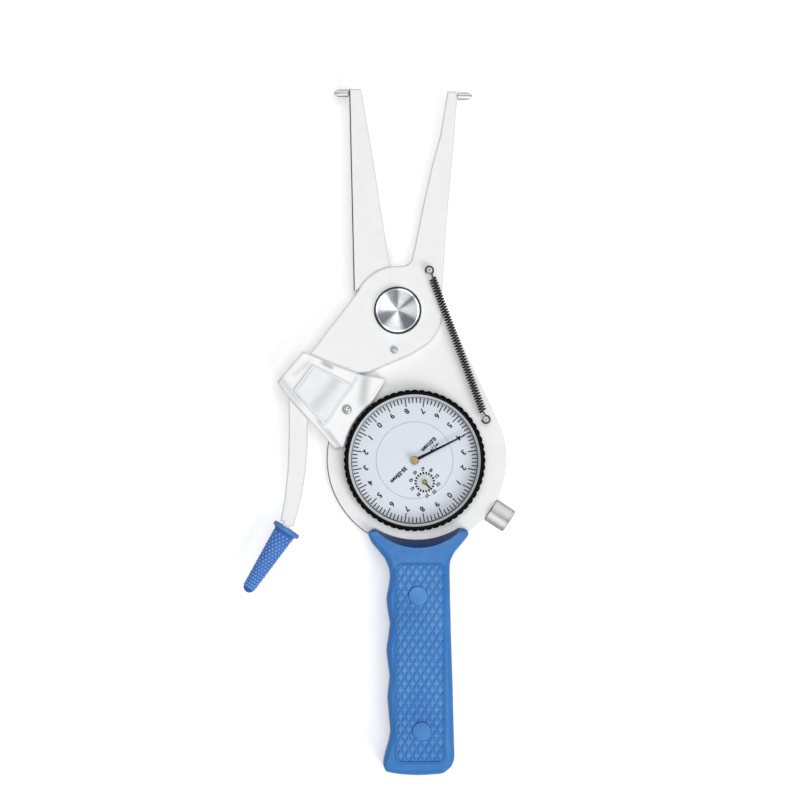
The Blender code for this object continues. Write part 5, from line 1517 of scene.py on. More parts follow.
@dataclass
class DialFace:
    """The graduated ring, the fixed centre and everything printed on them."""

    centre: Flat = DIAL_CENTRE
    up: float = math.radians(-45)
    inner_radius: float = 15.45 * MM
    outer_radius: float = 25.1 * MM
    tick_outer: float = 24.95 * MM
    tick_short: float = 22.9 * MM
    tick_long: float = 21.5 * MM
    tick_width: float = 0.43 * MM
    divisions: int = 100
    digit_radius: float = 19.8 * MM
    digit_height: float = 2.35 * MM
    digits: int = 20
    digit_weight: float = 0.036
    gap: float = 0.05 * MM
    edge: float = 0.05 * MM
    hole: float = 1.1 * MM
    text_weight: float = 0.06
    sign: Flat = (-9.1 * MM, 1.95 * MM)
    counter_marks: int = 20
    counter_inner: float = 3.2 * MM
    counter_outer: float = 4.15 * MM
    counter_width: float = 0.72 * MM
    counter_digits: int = 10
    counter_first: int = 35
    counter_radius: float = 5.45 * MM
    counter_size: Flat = (1.7 * MM, 1.4 * MM)
    counter_weight: float = 0.045
    line_inset: float = 0.16 * MM
    line_width: float = 0.12 * MM
    steps: int = 160

    # Words, their middle, height and width in millimetres.
    TEXTS = (("0.01mm", (-8.5, -0.45), 1.8, 7.4), ("35-55mm", (8.7, -0.3), 1.75, 8.4))
    # Parts of one half of the sign: where each starts and ends, and half its height there, in millimetres.
    SIGN = ((0.34, 0.66, 0.95, 0.95), (0.8, 1.75, 0.0, 0.62), (1.75, 2.65, 0.17, 0.17))
    # Radius and height over the dial of the disc under the counter hand, in millimetres.
    WINDOW = ((1.15, -0.1), (3.15, -0.1), (3.15, 0.02), (3.05, 0.04), (1.15, 0.04))

    def top(self) -> float:
        """Return the height of the dial's face."""
        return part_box("dial_ring")[1].z

    def new_print(self) -> Print:
        """Start a print on the dial."""
        return Print(self.centre, self.up, self.top())

    def grounds(self) -> tuple[Piece, Piece]:
        """Turn the smooth ring and disc that carry the print.

        Returns:
            The ring and the disc.
        """
        low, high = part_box("dial_ring")
        inner = self.inner_radius + self.gap
        ring = Maker.turned("dial_ring_enamelled", [
            (inner, low.z), (self.outer_radius, low.z), (self.outer_radius, high.z),
            (inner + self.edge, high.z), (inner, high.z - self.edge),
        ], self.steps, upright(self.centre), True)
        settle(ring, Body.BEZEL, DIAL_WHITE, ("dial_ring",))
        outer = self.inner_radius
        disc = Maker.turned("dial_centre_enamelled", [
            (self.hole, low.z), (outer - self.edge, low.z), (outer, low.z + self.edge),
            (outer, high.z - self.edge), (outer - self.edge, high.z), (self.hole, high.z),
        ], self.steps, upright(self.centre), True)
        rear, front = low.z - MM, high.z + MM
        profile = [(0, rear), (self.hole, rear), (self.hole, front), (0, front)]
        cutter = Maker.turned("counter_hole", profile, 32, upright(spot_of("counter_arbor")))
        Maker.apply_boolean(disc, cutter, "DIFFERENCE")
        settle(disc, Body.FRAME, DIAL_WHITE, ("dial_centre_disc",))
        return ring, disc

    def print_scale(self) -> Piece:
        """Print the hundred divisions and their digits on the ring.

        Returns:
            The printed scale.
        """
        ink = self.new_print()
        per_digit = self.divisions // self.digits
        for index in range(self.divisions):
            angle = math.pi / 2 + TAU * index / self.divisions
            inner = self.tick_short if index % per_digit else self.tick_long
            ink.spoke(inner, self.tick_outer, angle, self.tick_width)
        for index in range(self.digits):
            spot = polar((0, 0), self.digit_radius, math.pi / 2 + TAU * index / self.digits)
            ink.text(str(index % 10), spot, self.digit_height, None, self.digit_weight)
        return settle(ink.piece("dial_scale_print"), Body.BEZEL, INK)

    def print_centre(self) -> Piece:
        """Print the range, the division value and the small dial.

        Returns:
            The printed centre.
        """
        ink = self.new_print()
        for words, middle, height, width in self.TEXTS:
            spot = (middle[0] * MM, middle[1] * MM)
            ink.text(words, spot, height * MM, width * MM, self.text_weight)
        self.print_division_sign(ink)
        back = ink.place.inverted() @ Vector((*spot_of("counter_arbor"), 0))
        centre = (back.x, back.y)
        for index in range(self.counter_marks):
            angle = math.pi / 2 + TAU * index / self.counter_marks
            ink.spoke(self.counter_inner, self.counter_outer, angle, self.counter_width, centre)
        width, height = self.counter_size
        for index in range(self.counter_digits):
            spot = polar(centre, self.counter_radius, math.pi / 2 - TAU * index / self.counter_digits)
            ink.text(str(self.counter_first + 2 * index), spot, height, width, self.counter_weight)
        return settle(ink.piece("dial_centre_print"), Body.FRAME, INK)

    def print_division_sign(self, ink: Print) -> None:
        """Print the sign for one division: two bars between two arrows.

        Args:
            ink: Print that it is added to.
        """
        for side in (-1, 1):
            for first, last, start, end in self.SIGN:
                shape = near(((first, -start), (last, -end), (last, end), (first, start)))
                outline = [(self.sign[0] + side * x, self.sign[1] + y) for x, y in shape]
                ink.polygon(outline if side > 0 else outline[::-1])

    def counter_window(self) -> Piece:
        """Turn the light disc under the counter hand.

        Returns:
            The disc.
        """
        place = upright(spot_of("counter_arbor"))
        window = Maker.turned("counter_window_disc", near(self.WINDOW, level=self.top()), 64, place, True)
        return settle(window, Body.FRAME, COUNTER_WHITE)

    def inner_line(self) -> Piece:
        """Print the thin line round the fixed centre.

        Returns:
            The line.
        """
        ink = self.new_print()
        ink.ring(self.inner_radius - self.line_inset, self.line_width, self.steps)
        return settle(ink.piece("dial_centre_line"), Body.FRAME, INK_FINE)

    def build(self) -> list[str]:
        """Build the dial.

        Returns:
            The names of the pieces.
        """
        pieces = [*self.grounds(), self.print_scale(), self.print_centre()]
        pieces += [self.counter_window(), self.inner_line()]
        return [piece.name for piece in pieces]


@dataclass
class BezelSet:
    """The knurled black bezel, its grey liner and the crystal."""

    centre: Flat = DIAL_CENTRE
    teeth: int = 60
    tooth_points: int = 10
    radius: float = 28.0 * MM
    tooth_height: float = 0.5 * MM
    skirt: float = 26.85 * MM
    inner: float = 24.75 * MM
    ledge: float = 25.4 * MM
    lip: float = 26.3 * MM
    depth: float = 3.4 * MM
    undercut: float = 0.36 * MM
    web: float = 0.5 * MM
    seat_gap: float = 0.3 * MM
    tooth_power: float = 0.7
    liner_gap: float = 0.3 * MM
    liner_width: float = 1.4 * MM
    liner_lap: float = 0.05 * MM
    liner_edge: float = 0.15 * MM
    liner_sink: float = 0.2 * MM
    slope_steps: int = 6
    crystal_edge: float = 0.15 * MM
    steps: int = 160

    # Offsets in millimetres from the crest and a level, with the share of the teeth.
    KNURL_REAR = ((-1.0, 0.0, 0), (-0.5, 0.2, 0.4), (0.0, 0.7, 1))
    KNURL_FRONT = ((0.0, -0.95, 1), (-0.28, -0.5, 0.8), (-0.8, -0.12, 0.3), (-1.15, 0.0, 0))
    # Offsets in millimetres from the lip and the bezel's face.
    LIP = ((0.35, 0.0), (0.1, -0.1), (0.0, -0.3))
    # Shares of the crystal's radius with heights over its face in millimetres.
    DOME = ((0.5, 0.04), (0.0, 0.05))

    def wave(self, index: int) -> float:
        """Return a tooth's height share at a point of the circle."""
        share = (index % self.tooth_points) / self.tooth_points
        return abs(math.cos(math.pi * share)) ** self.tooth_power

    def bezel(self) -> Piece:
        """Loft the bezel with its scalloped rim.

        Returns:
            The bezel.
        """
        low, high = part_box("bezel")
        rear = high.z - self.depth
        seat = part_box("dial_ring")[0].z - self.seat_gap
        crest = self.radius + self.tooth_height / 2
        sections = [(self.inner, low.z, 0), (self.skirt, low.z, 0), (self.skirt, rear, 0)]
        for table, level in ((self.KNURL_REAR, rear), (self.KNURL_FRONT, high.z)):
            sections += [(crest + out * MM, level + up * MM, share) for out, up, share in table]
        plain = [*near(self.LIP, self.lip, high.z), (self.skirt, high.z - self.undercut),
                 (self.skirt, rear + self.web), (self.ledge, rear + self.web), (self.ledge, seat),
                 (self.inner, seat)]
        sections += [(radius, level, 0) for radius, level in plain]
        count = self.teeth * self.tooth_points
        rings = []
        for radius, level, share in sections:
            ring = []
            for index in range(count):
                bite = (1 - self.wave(index)) * self.tooth_height * share
                spot = polar(self.centre, radius - bite, TAU * index / count)
                ring.append((spot[0], spot[1], level))
            rings.append(ring)
        piece = Maker.lofted("bezel_knurled", rings, False, True)
        return settle(piece, Body.BEZEL, BEZEL_BLACK, ("bezel",))

    def liner(self) -> Piece:
        """Turn the sloped liner between the crystal and the rim.

        Returns:
            The liner.
        """
        low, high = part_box("bezel_liner")
        outer = self.skirt - self.liner_gap
        inner = outer - self.liner_width
        start, crest = self.lip - self.liner_lap, high.z - self.liner_sink
        profile = [(inner, low.z), (outer, low.z), (outer, high.z - self.liner_edge)]
        for step in range(self.slope_steps):
            share = step / self.slope_steps
            drop = math.sin(math.pi / 2 * share)
            profile.append((start + (inner - start) * share, crest + (low.z - crest) * drop))
        piece = Maker.turned("bezel_liner_sloped", profile, self.steps, upright(self.centre), True)
        return settle(piece, Body.BEZEL, LINER_GREY, ("bezel_liner",))

    def crystal(self) -> Piece:
        """Turn the crystal with its polished edge.

        Returns:
            The crystal.
        """
        low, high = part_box("crystal")
        radius = (high.x - low.x) / 2
        edge = self.crystal_edge
        profile = [(0, low.z), (radius - edge, low.z), (radius, low.z + edge), (radius, high.z - edge),
                   (radius - edge, high.z)]
        profile += [(radius * share, high.z + up * MM) for share, up in self.DOME]
        piece = Maker.turned("crystal_polished", profile, self.steps, upright(self.centre))
        return settle(piece, Body.BEZEL, CRYSTAL, ("crystal",))

    def build(self) -> list[str]:
        """Build the bezel set.

        Returns:
            The names of the pieces.
        """
        return [self.bezel().name, self.liner().name, self.crystal().name]


@dataclass
class Hands:
    """The long pointer with its hub, and the short counter hand."""

    centre: Flat = DIAL_CENTRE
    heading: float = math.radians(26.6)
    counter_heading: float = math.radians(-48)
    tail_radius: float = 1.25 * MM

    # Distances along and across the hands in millimetres.
    POINTER = ((0.95, 0.72), (1.75, 0.62), (11.0, 0.44), (19.2, 0.3), (22.5, 0.18))
    COUNTER = ((0.5, -0.3), (3.3, -0.28), (3.9, 0), (3.3, 0.28), (0.5, 0.3), (-0.8, 0.24), (-0.8, -0.24))
    # Radii in millimetres with heights over the hub's rear or front face.
    HUB_REAR = ((0, -0.25), (1.62, -0.25), (1.66, -0.05))
    HUB_FRONT = ((1.5, -0.1), (1.38, 0), (1.18, 0), (1.1, -0.28), (0.72, -0.28), (0.66, 0), (0.5, 0.06),
                 (0.3, 0.06), (0.24, -0.12), (0, -0.12))
    BOSS_REAR = ((0, -0.1), (0.85, -0.1))
    BOSS_FRONT = ((0.85, 0), (0.7, 0.15), (0.4, 0.15), (0.3, 0.05), (0, 0.05))

    @staticmethod
    def blade(name: str, node: str, outline: Sequence[Flat], place: Matrix) -> Piece:
        """Raise a flat hand.

        Args:
            name: Name of the hand.
            node: CAD node that gives its levels.
            outline: Outline round its own axis.
            place: Matrix that puts it in the row frame.

        Returns:
            The hand.
        """
        low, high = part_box(node)
        rings = [[place @ Vector(spot) for spot in at_level(outline, level)] for level in (low.z, high.z)]
        return Maker.lofted(name, rings)

    def pointer(self) -> Piece:
        """Raise the tapered pointer.

        Returns:
            The pointer.
        """
        left = near(self.POINTER)
        tail = [polar((0, 0), self.tail_radius, math.radians(angle)) for angle in range(40, 321, 20)]
        outline = [*((x, -y) for x, y in left), *reversed(left), *tail]
        place = upright(self.centre) @ Matrix.Rotation(self.heading, 4, "Z")
        piece = self.blade("pointer_tapered", "pointer", outline, place)
        return settle(piece, Body.CENTRE, POINTER_BLACK, ("pointer",))

    def hub(self) -> Piece:
        """Turn the brass hub with its groove and centre pip.

        Returns:
            The hub.
        """
        low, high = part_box("pointer_hub")
        profile = near(self.HUB_REAR, level=low.z) + near(self.HUB_FRONT, level=high.z)
        piece = Maker.turned("pointer_hub_turned", profile, 64, upright(self.centre))
        return settle(piece, Body.CENTRE, HUB_BRASS, ("pointer_hub",))

    def counter_hand(self) -> tuple[Piece, Piece]:
        """Raise the counter hand and turn its hub.

        Returns:
            The hand and its hub.
        """
        low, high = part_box("counter_hand")
        centre = upright(spot_of("counter_arbor"))
        place = centre @ Matrix.Rotation(self.counter_heading, 4, "Z")
        hand = self.blade("counter_hand_blade", "counter_hand", near(self.COUNTER), place)
        settle(hand, Body.COUNTER, POINTER_BLACK, ("counter_hand",))
        profile = near(self.BOSS_REAR, level=low.z) + near(self.BOSS_FRONT, level=high.z)
        hub = Maker.turned("counter_hand_hub", profile, 40, centre)
        settle(hub, Body.COUNTER, HUB_GREY)
        return hand, hub

    def build(self) -> list[str]:
        """Build the hands.

        Returns:
            The names of the pieces.
        """
        return [piece.name for piece in (self.pointer(), self.hub(), *self.counter_hand())]


@dataclass
class ClampKnob:
    """The radial knob that clamps the bezel."""

    centre: Flat = DIAL_CENTRE
    heading: float = math.radians(-33)
    level: float = 7.6 * MM
    root: float = 27.75 * MM
    shank_radius: float = 1.2 * MM
    start: float = 36.3 * MM
    length: float = 8.8 * MM
    radius: float = 4.85 * MM
    edge: float = 0.35 * MM

    # Offsets in millimetres from the knob's side and end.
    COLLAR = ((0.0, -1.2), (-0.12, -1.1), (-0.12, -0.95), (0.0, -0.85))
    FACE = ((-1.2, 0.0), (-1.3, -0.15))

    def build(self) -> list[str]:
        """Turn the knob with its shank and narrow collar.

        Returns:
            The names of the pieces.
        """
        end = self.start + self.length
        face = near(self.FACE, self.radius, end)
        profile = [(0, self.root), (self.shank_radius, self.root), (self.shank_radius, self.start),
                   (self.radius - self.edge, self.start), (self.radius, self.start + self.edge),
                   *near(self.COLLAR, self.radius, end), *rim_curve(self.radius, end, self.edge),
                   *face, (0, face[-1][1])]
        knob = Maker.turned("clamp_knob_turned", profile, 72, lying((*self.centre, self.level), self.heading))
        # The knob's finish carries painted reflection bands.
        reflection_finish = BandedMetal("knob_steel_painted_reflection", self.centre, self.heading, self.radius, KNOB_REFLECTION_STOPS, end)
        settle(knob, Body.CLAMP, reflection_finish, ("clamp_knob",))
        return [knob.name]


@dataclass
class ReturnSpring:
    """The close-wound return spring and the two grooved posts that hold it."""

    height: float = 15.5 * MM
    radius: float = 1.4 * MM
    wire: float = 0.27 * MM
    curls: int = 51
    curl_points: int = 14
    lead: float = 3.3 * MM
    hook: float = 1.6 * MM
    hook_points: int = 18
    hook_turn: float = 1.6 * math.pi
    post_edge: float = 0.3 * MM
    groove: float = 0.85 * MM
    groove_share: float = 1.6
    bend_from: float = 0.5
    bend_to: float = 0.97

    # Offsets in millimetres: from the post's side and its groove, from its axis and its face.
    HEAD = ((-0.1, 0.0), (0.0, 0.15))
    DIMPLE = ((0.42, 0.0), (0.36, -0.25), (0.0, -0.3))

    def path(self) -> list[Vector]:
        """Return the wire's centre line: a hook, the curls and a hook.

        Returns:
            Points of the line.
        """
        first, last = box_middle("arm_spring_post"), box_middle("frame_spring_post")
        start = Vector((first.x, first.y, self.height))
        end = Vector((last.x, last.y, self.height))
        along = (end - start).normalized()
        side = Vector((-along.y, along.x, 0))
        up = Vector((0, 0, 1))
        points = []
        for step in range(self.hook_points):
            turn = self.hook_turn * (1 - step / self.hook_points)
            points.append(start + self.hook * (along * math.cos(turn) + side * math.sin(turn)))
        count = self.curls * self.curl_points
        length = (end - start).length - 2 * self.lead
        for step in range(count + 1):
            turn = TAU * step / self.curl_points
            spot = start + along * (self.lead + length * step / count)
            points.append(spot + self.radius * (side * math.sin(turn) + up * math.cos(turn)))
        for step in range(1, self.hook_points + 1):
            turn = self.hook_turn * step / self.hook_points
            points.append(end + self.hook * (-along * math.cos(turn) + side * math.sin(turn)))
        return points

    def post(self, node: str, body: Body) -> Piece:
        """Turn a post with its groove and rounded head.

        Args:
            node: CAD node that it stands for.
            body: Body that it rides on.

        Returns:
            The post.
        """
        low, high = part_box(node)
        radius = (high.x - low.x) / 2
        rear = self.height + self.wire * self.groove_share
        profile = [(0, low.z), (self.groove, low.z), (self.groove, rear), *near(self.HEAD, radius, rear),
                   *rim_curve(radius, high.z, self.post_edge, 5), *near(self.DIMPLE, level=high.z)]
        piece = Maker.turned(node + "_turned", profile, 40, upright(spot_of(node)))
        return settle(piece, body, POST_STEEL, (node,))

    def build(self) -> list[str]:
        """Wind the spring and turn its posts.

        Returns:
            The names of the pieces.
        """
        path = self.path()
        spring = Maker.tube("return_spring_wound", path, self.wire, 10)
        spring.data.materials.append(WIRE_BLACK.material())
        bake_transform(spring)
        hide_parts("return_spring")
        posts = [self.post("arm_spring_post", Body.ARM), self.post("frame_spring_post", Body.FRAME)]
        return [spring.name, *(post.name for post in posts)]


@dataclass
class Handle:
    """The moulded handle: two shells, the grip panel and its two plugs."""

    axis: float = 8.88 * MM
    top: float = 87.15 * MM
    length: float = 98.2 * MM
    half_width: float = 13.15 * MM
    front: float = 17.0 * MM
    split: float = 8.5 * MM
    rounding: float = 3.2 * MM
    rounding_width: float = 2.4 * MM
    least_turn: float = 0.01
    corner_share: float = 0.5
    easing: int = 40
    housing_radius: float = 35.95 * MM
    rim_gap: float = 0.25 * MM
    rim_levels: Flat = (-5.0 * MM, 10.25 * MM)
    lap: float = 0.1 * MM
    round_steps: int = 7
    cut_steps: int = 192
    tang_levels: Flat = (6.7 * MM, 10.3 * MM)
    cell: Flat = (3.15 * MM, 5.2 * MM)
    cells: int = 24
    groove_share: float = 0.17
    groove_depth: float = 0.45 * MM
    crest: float = 0.05 * MM
    crown: float = 0.16 * MM
    sheet_half: Flat = (16.0 * MM, 48.0 * MM)
    sheet_depth: float = 1.2 * MM
    bound_inset: float = 0.55 * MM
    bound_depth: float = 0.8 * MM
    panel_sides: Flat = (0.73, 0.74)
    panel_ends: Flat = (0.142, 0.945)
    panel_top: float = 17.35 * MM
    panel_corner: float = 3.2 * MM
    plug_hole: float = 3.9 * MM
    plug_levels: Flat = (15.0 * MM, 19.0 * MM)
    plug_proud: float = 0.1 * MM

    # Corners of the tang's pocket, and the bead's growths and heights, in millimetres.
    TANG = ((2.5, -175.0), (15.3, -175.0), (15.3, -80.0), (2.5, -80.0))
    BEAD = ((0.5, 16.0), (0.5, 16.95), (0.36, 17.2), (0.1, 17.32), (-0.2, 17.26), (-0.5, 16.98),
            (-0.85, 16.9), (-0.9, 16.0))
    # The plug's radii with heights, and with heights over its face, in millimetres.
    PLUG_REAR = ((0.0, 15.3), (3.2, 15.3), (3.2, 16.4), (3.8, 16.4))
    PLUG_FACE = ((3.8, -0.3), (3.7, -0.12), (3.5, -0.02), (3.0, 0.06), (1.6, 0.14), (0.0, 0.16))

    SCOOP = (
        (HOUSING_CENTRE, 32.35 * MM, 10.05 * MM),
        ((8.2 * MM, -70.7 * MM), 23.9 * MM, 17.0 * MM),
        ((8.49 * MM, -75.66 * MM), 20.27 * MM, 20.0 * MM),
    )
    SHARES = (
        (-1.390, 0.000), (-1.545, 0.012), (-1.565, 0.026), (-1.460, 0.056), (-1.268, 0.087),
        (-1.064, 0.121), (-0.940, 0.161), (-0.915, 0.196), (-0.950, 0.235), (-1.016, 0.283),
        (-0.975, 0.334), (-0.915, 0.384), (-0.958, 0.436), (-1.016, 0.493), (-0.975, 0.544),
        (-0.924, 0.594), (-0.950, 0.636), (-0.988, 0.682), (-0.950, 0.748), (-0.903, 0.824),
        (-0.964, 0.871), (-1.064, 0.918), (-1.120, 0.955), (-1.030, 0.984),
        (-0.700, 0.994), (-0.400, 0.998), (-0.057, 1.000), (0.300, 0.998), (0.700, 0.992),
        (0.953, 0.965), (1.043, 0.932), (1.028, 0.844), (0.992, 0.641), (0.943, 0.438),
        (0.913, 0.270), (0.901, 0.155), (0.928, 0.128), (1.052, 0.094), (1.305, 0.054),
        (1.470, 0.024), (1.430, 0.006), (1.290, -0.002),
    )

    def outline(self) -> list[Flat]:
        """Return the handle's smooth outline, counter-clockwise.

        Returns:
            Points of the outline.
        """
        points = [(self.axis + x * self.half_width, -self.top - y * self.length) for x, y in self.SHARES]
        return through(points, 5)

    def widths(self, outline: Sequence[Flat]) -> list[float]:
        """Return how far in each point's rounding goes, less where the outline turns sharply.

        Args:
            outline: The handle's outline.

        Returns:
            Width of the rounding at each point.
        """
        count = len(outline)
        limits = []
        for index in range(count):
            before, here, after = (Vector(outline[(index + shift) % count]) for shift in (-2, 0, 2))
            first, second = here - before, after - here
            turn = math.atan2(first.x * second.y - first.y * second.x, first.dot(second))
            radius = (first.length + second.length) / 2 / max(turn, self.least_turn)
            limits.append(min(self.rounding_width, self.corner_share * radius))
        for _ in range(self.easing):
            limits = [min(limit, (limits[index - 1] + limits[(index + 1) % count]) / 2)
                      for index, limit in enumerate(limits)]
        return limits

    @staticmethod
    def section(outline: Sequence[Flat], widths: Sequence[float], share: float, level: float) -> list[Vector]:
        """Return one ring of a shell, pulled in by a share of its rounding.

        Args:
            outline: The handle's outline.
            widths: Width of the rounding at each point.
            share: Share of the rounding, from 0 to 1.
            level: Height of the ring.

        Returns:
            Points of the ring.
        """
        inner = shrink(outline, MM)
        ring = []
        for here, moved, width in zip(outline, inner, widths):
            pull = width * share / MM
            x, y = (start + (end - start) * pull for start, end in zip(here, moved))
            ring.append(Vector((x, y, level)))
        return ring

    def shell(self, name: str, face: float) -> Piece:
        """Loft one half of the handle and cut it to the housing.

        Args:
            name: Name of the shell.
            face: Height of its outer face.

        Returns:
            The shell.
        """
        outline = self.outline()
        toward = 1 if face > self.split else -1
        widths = self.widths(outline)
        rings = [self.section(outline, widths, 0, self.split + toward * self.lap)]
        for step in range(self.round_steps + 1):
            turn = math.pi / 2 * step / self.round_steps
            level = face - toward * self.rounding * (1 - math.sin(turn))
            rings.append(self.section(outline, widths, 1 - math.cos(turn), level))
        shell = Maker.lofted(name, rings)
        around = self.housing_radius + self.rim_gap
        low, high = self.rim_levels
        profile = [(0, low), (around, low), (around, high), (0, high)]
        rim = Maker.turned("rim_cutter", profile, self.cut_steps, upright(HOUSING_CENTRE))
        Maker.apply_boolean(shell, rim, "DIFFERENCE")
        if toward > 0:
            rings = [at_level(circle(*where, self.cut_steps), level) for *where, level in self.SCOOP]
            Maker.apply_boolean(shell, Maker.lofted("scoop_cutter", rings), "DIFFERENCE")
        pocket = Maker.plate("tang_cutter", near(self.TANG), *self.tang_levels)
        Maker.apply_boolean(shell, pocket, "DIFFERENCE")
        return shell

    def panel_outline(self, grow: float = 0.0) -> list[Flat]:
        """Return the grip panel's rounded outline, grown by a distance.

        Args:
            grow: Distance that it is grown by.

        Returns:
            Points of the outline, counter-clockwise.
        """
        left = self.axis - self.panel_sides[0] * self.half_width - grow
        right = self.axis + self.panel_sides[1] * self.half_width + grow
        high = -self.top - self.panel_ends[0] * self.length + grow
        low = -self.top - self.panel_ends[1] * self.length - grow
        corners = [(left, low), (right, low), (right, high), (left, high)]
        return round_corners(corners, self.panel_corner + grow, 7)

    def lattice(self) -> Piece:
        """Model the panel of raised diamonds.

        Returns:
            The panel.
        """
        wide, tall = self.cell
        middle = (self.axis, -self.top - sum(self.panel_ends) / 2 * self.length)
        cuts = (0.0, self.groove_share, 0.5, 1 - self.groove_share)
        stations = [cell + cut for cell in range(-self.cells, self.cells) for cut in cuts]
        crest = self.panel_top + self.crest
        heights = (self.front - self.groove_depth, crest - self.crown, crest, crest - self.crown)
        points, faces = [], []
        count = len(stations)
        for row, u in enumerate(stations):
            for column, v in enumerate(stations):
                spot = Vector((middle[0] + (u + v) * wide / 2, middle[1] + (u - v) * tall / 2))
                points.append((spot.x, spot.y, min(heights[row % 4], heights[column % 4])))
        keep = set()
        for row in range(count - 1):
            for column in range(count - 1):
                x, y, _ = points[row * count + column]
                if abs(x - middle[0]) < self.sheet_half[0] and abs(y - middle[1]) < self.sheet_half[1]:
                    corners = [row * count + column, (row + 1) * count + column,
                               (row + 1) * count + column + 1, row * count + column + 1]
                    faces.append(corners)
                    keep.update(corners)
        slots = {old: new for new, old in enumerate(sorted(keep))}
        sheet = Maker.mesh("handle_diamond_panel", [points[old] for old in sorted(keep)],
                           [[slots[corner] for corner in face] for face in faces], False)
        self.close_below(sheet, self.front - self.sheet_depth)
        bound = Maker.plate("panel_bound", self.panel_outline(-self.bound_inset),
                            self.front - self.bound_depth, self.panel_top + MM)
        Maker.apply_boolean(sheet, bound, "INTERSECT")
        for index in (1, 2):
            hole = circle(spot_of(f"handle_plug_{index}"), self.plug_hole, 48)
            Maker.apply_boolean(sheet, Maker.plate("plug_hole", hole, *self.plug_levels), "DIFFERENCE")
        return sheet

    @staticmethod
    def close_below(sheet: Piece, level: float) -> None:
        """Close an open sheet with walls and a floor at a level.

        Args:
            sheet: Sheet that is closed.
            level: Height of the floor.
        """
        work = bmesh.new()
        work.from_mesh(sheet.data)
        border = [edge for edge in work.edges if edge.is_boundary]
        made = bmesh.ops.extrude_edge_only(work, edges=border)["geom"]
        fresh = [item for item in made if isinstance(item, bmesh.types.BMVert)]
        for vertex in fresh:
            vertex.co.z = level
        loop = [item for item in made if isinstance(item, bmesh.types.BMEdge)]
        bmesh.ops.contextual_create(work, geom=loop)
        bmesh.ops.recalc_face_normals(work, faces=work.faces)
        work.to_mesh(sheet.data)
        work.free()

    def panel_rim(self) -> Piece:
        """Loft the raised bead round the diamonds.

        Returns:
            The bead.
        """
        loops = [at_level(self.panel_outline(grow), level) for grow, level in near(self.BEAD)]
        return Maker.lofted("handle_panel_bead", loops, False, True)

    def plug(self, index: int) -> Piece:
        """Turn a plug with its slightly domed face.

        Args:
            index: Number of the plug, from 1.

        Returns:
            The plug.
        """
        node = f"handle_plug_{index}"
        profile = near(self.PLUG_REAR) + near(self.PLUG_FACE, level=self.panel_top + self.plug_proud)
        piece = Maker.turned(node + "_domed", profile, 64, upright(spot_of(node)))
        return settle(piece, Body.FRAME, PANEL_BLUE, (node,))

    def build(self) -> list[str]:
        """Build the handle.

        Returns:
            The names of the pieces.
        """
        shells = []
        for side, face in (("front", self.front), ("rear", 0.0)):
            shell = self.shell(f"handle_{side}_shell", face)
            shells.append(settle(shell, Body.FRAME, HANDLE_BLUE, (f"handle_{side}",)))
        lattice = settle(self.lattice(), Body.FRAME, PANEL_BLUE)
        bead = settle(self.panel_rim(), Body.FRAME, HANDLE_BLUE)
        names = [piece.name for piece in (*shells, lattice, bead, self.plug(1), self.plug(2))]
        return names + dress(STEEL, "handle_screw_1", "handle_screw_2")


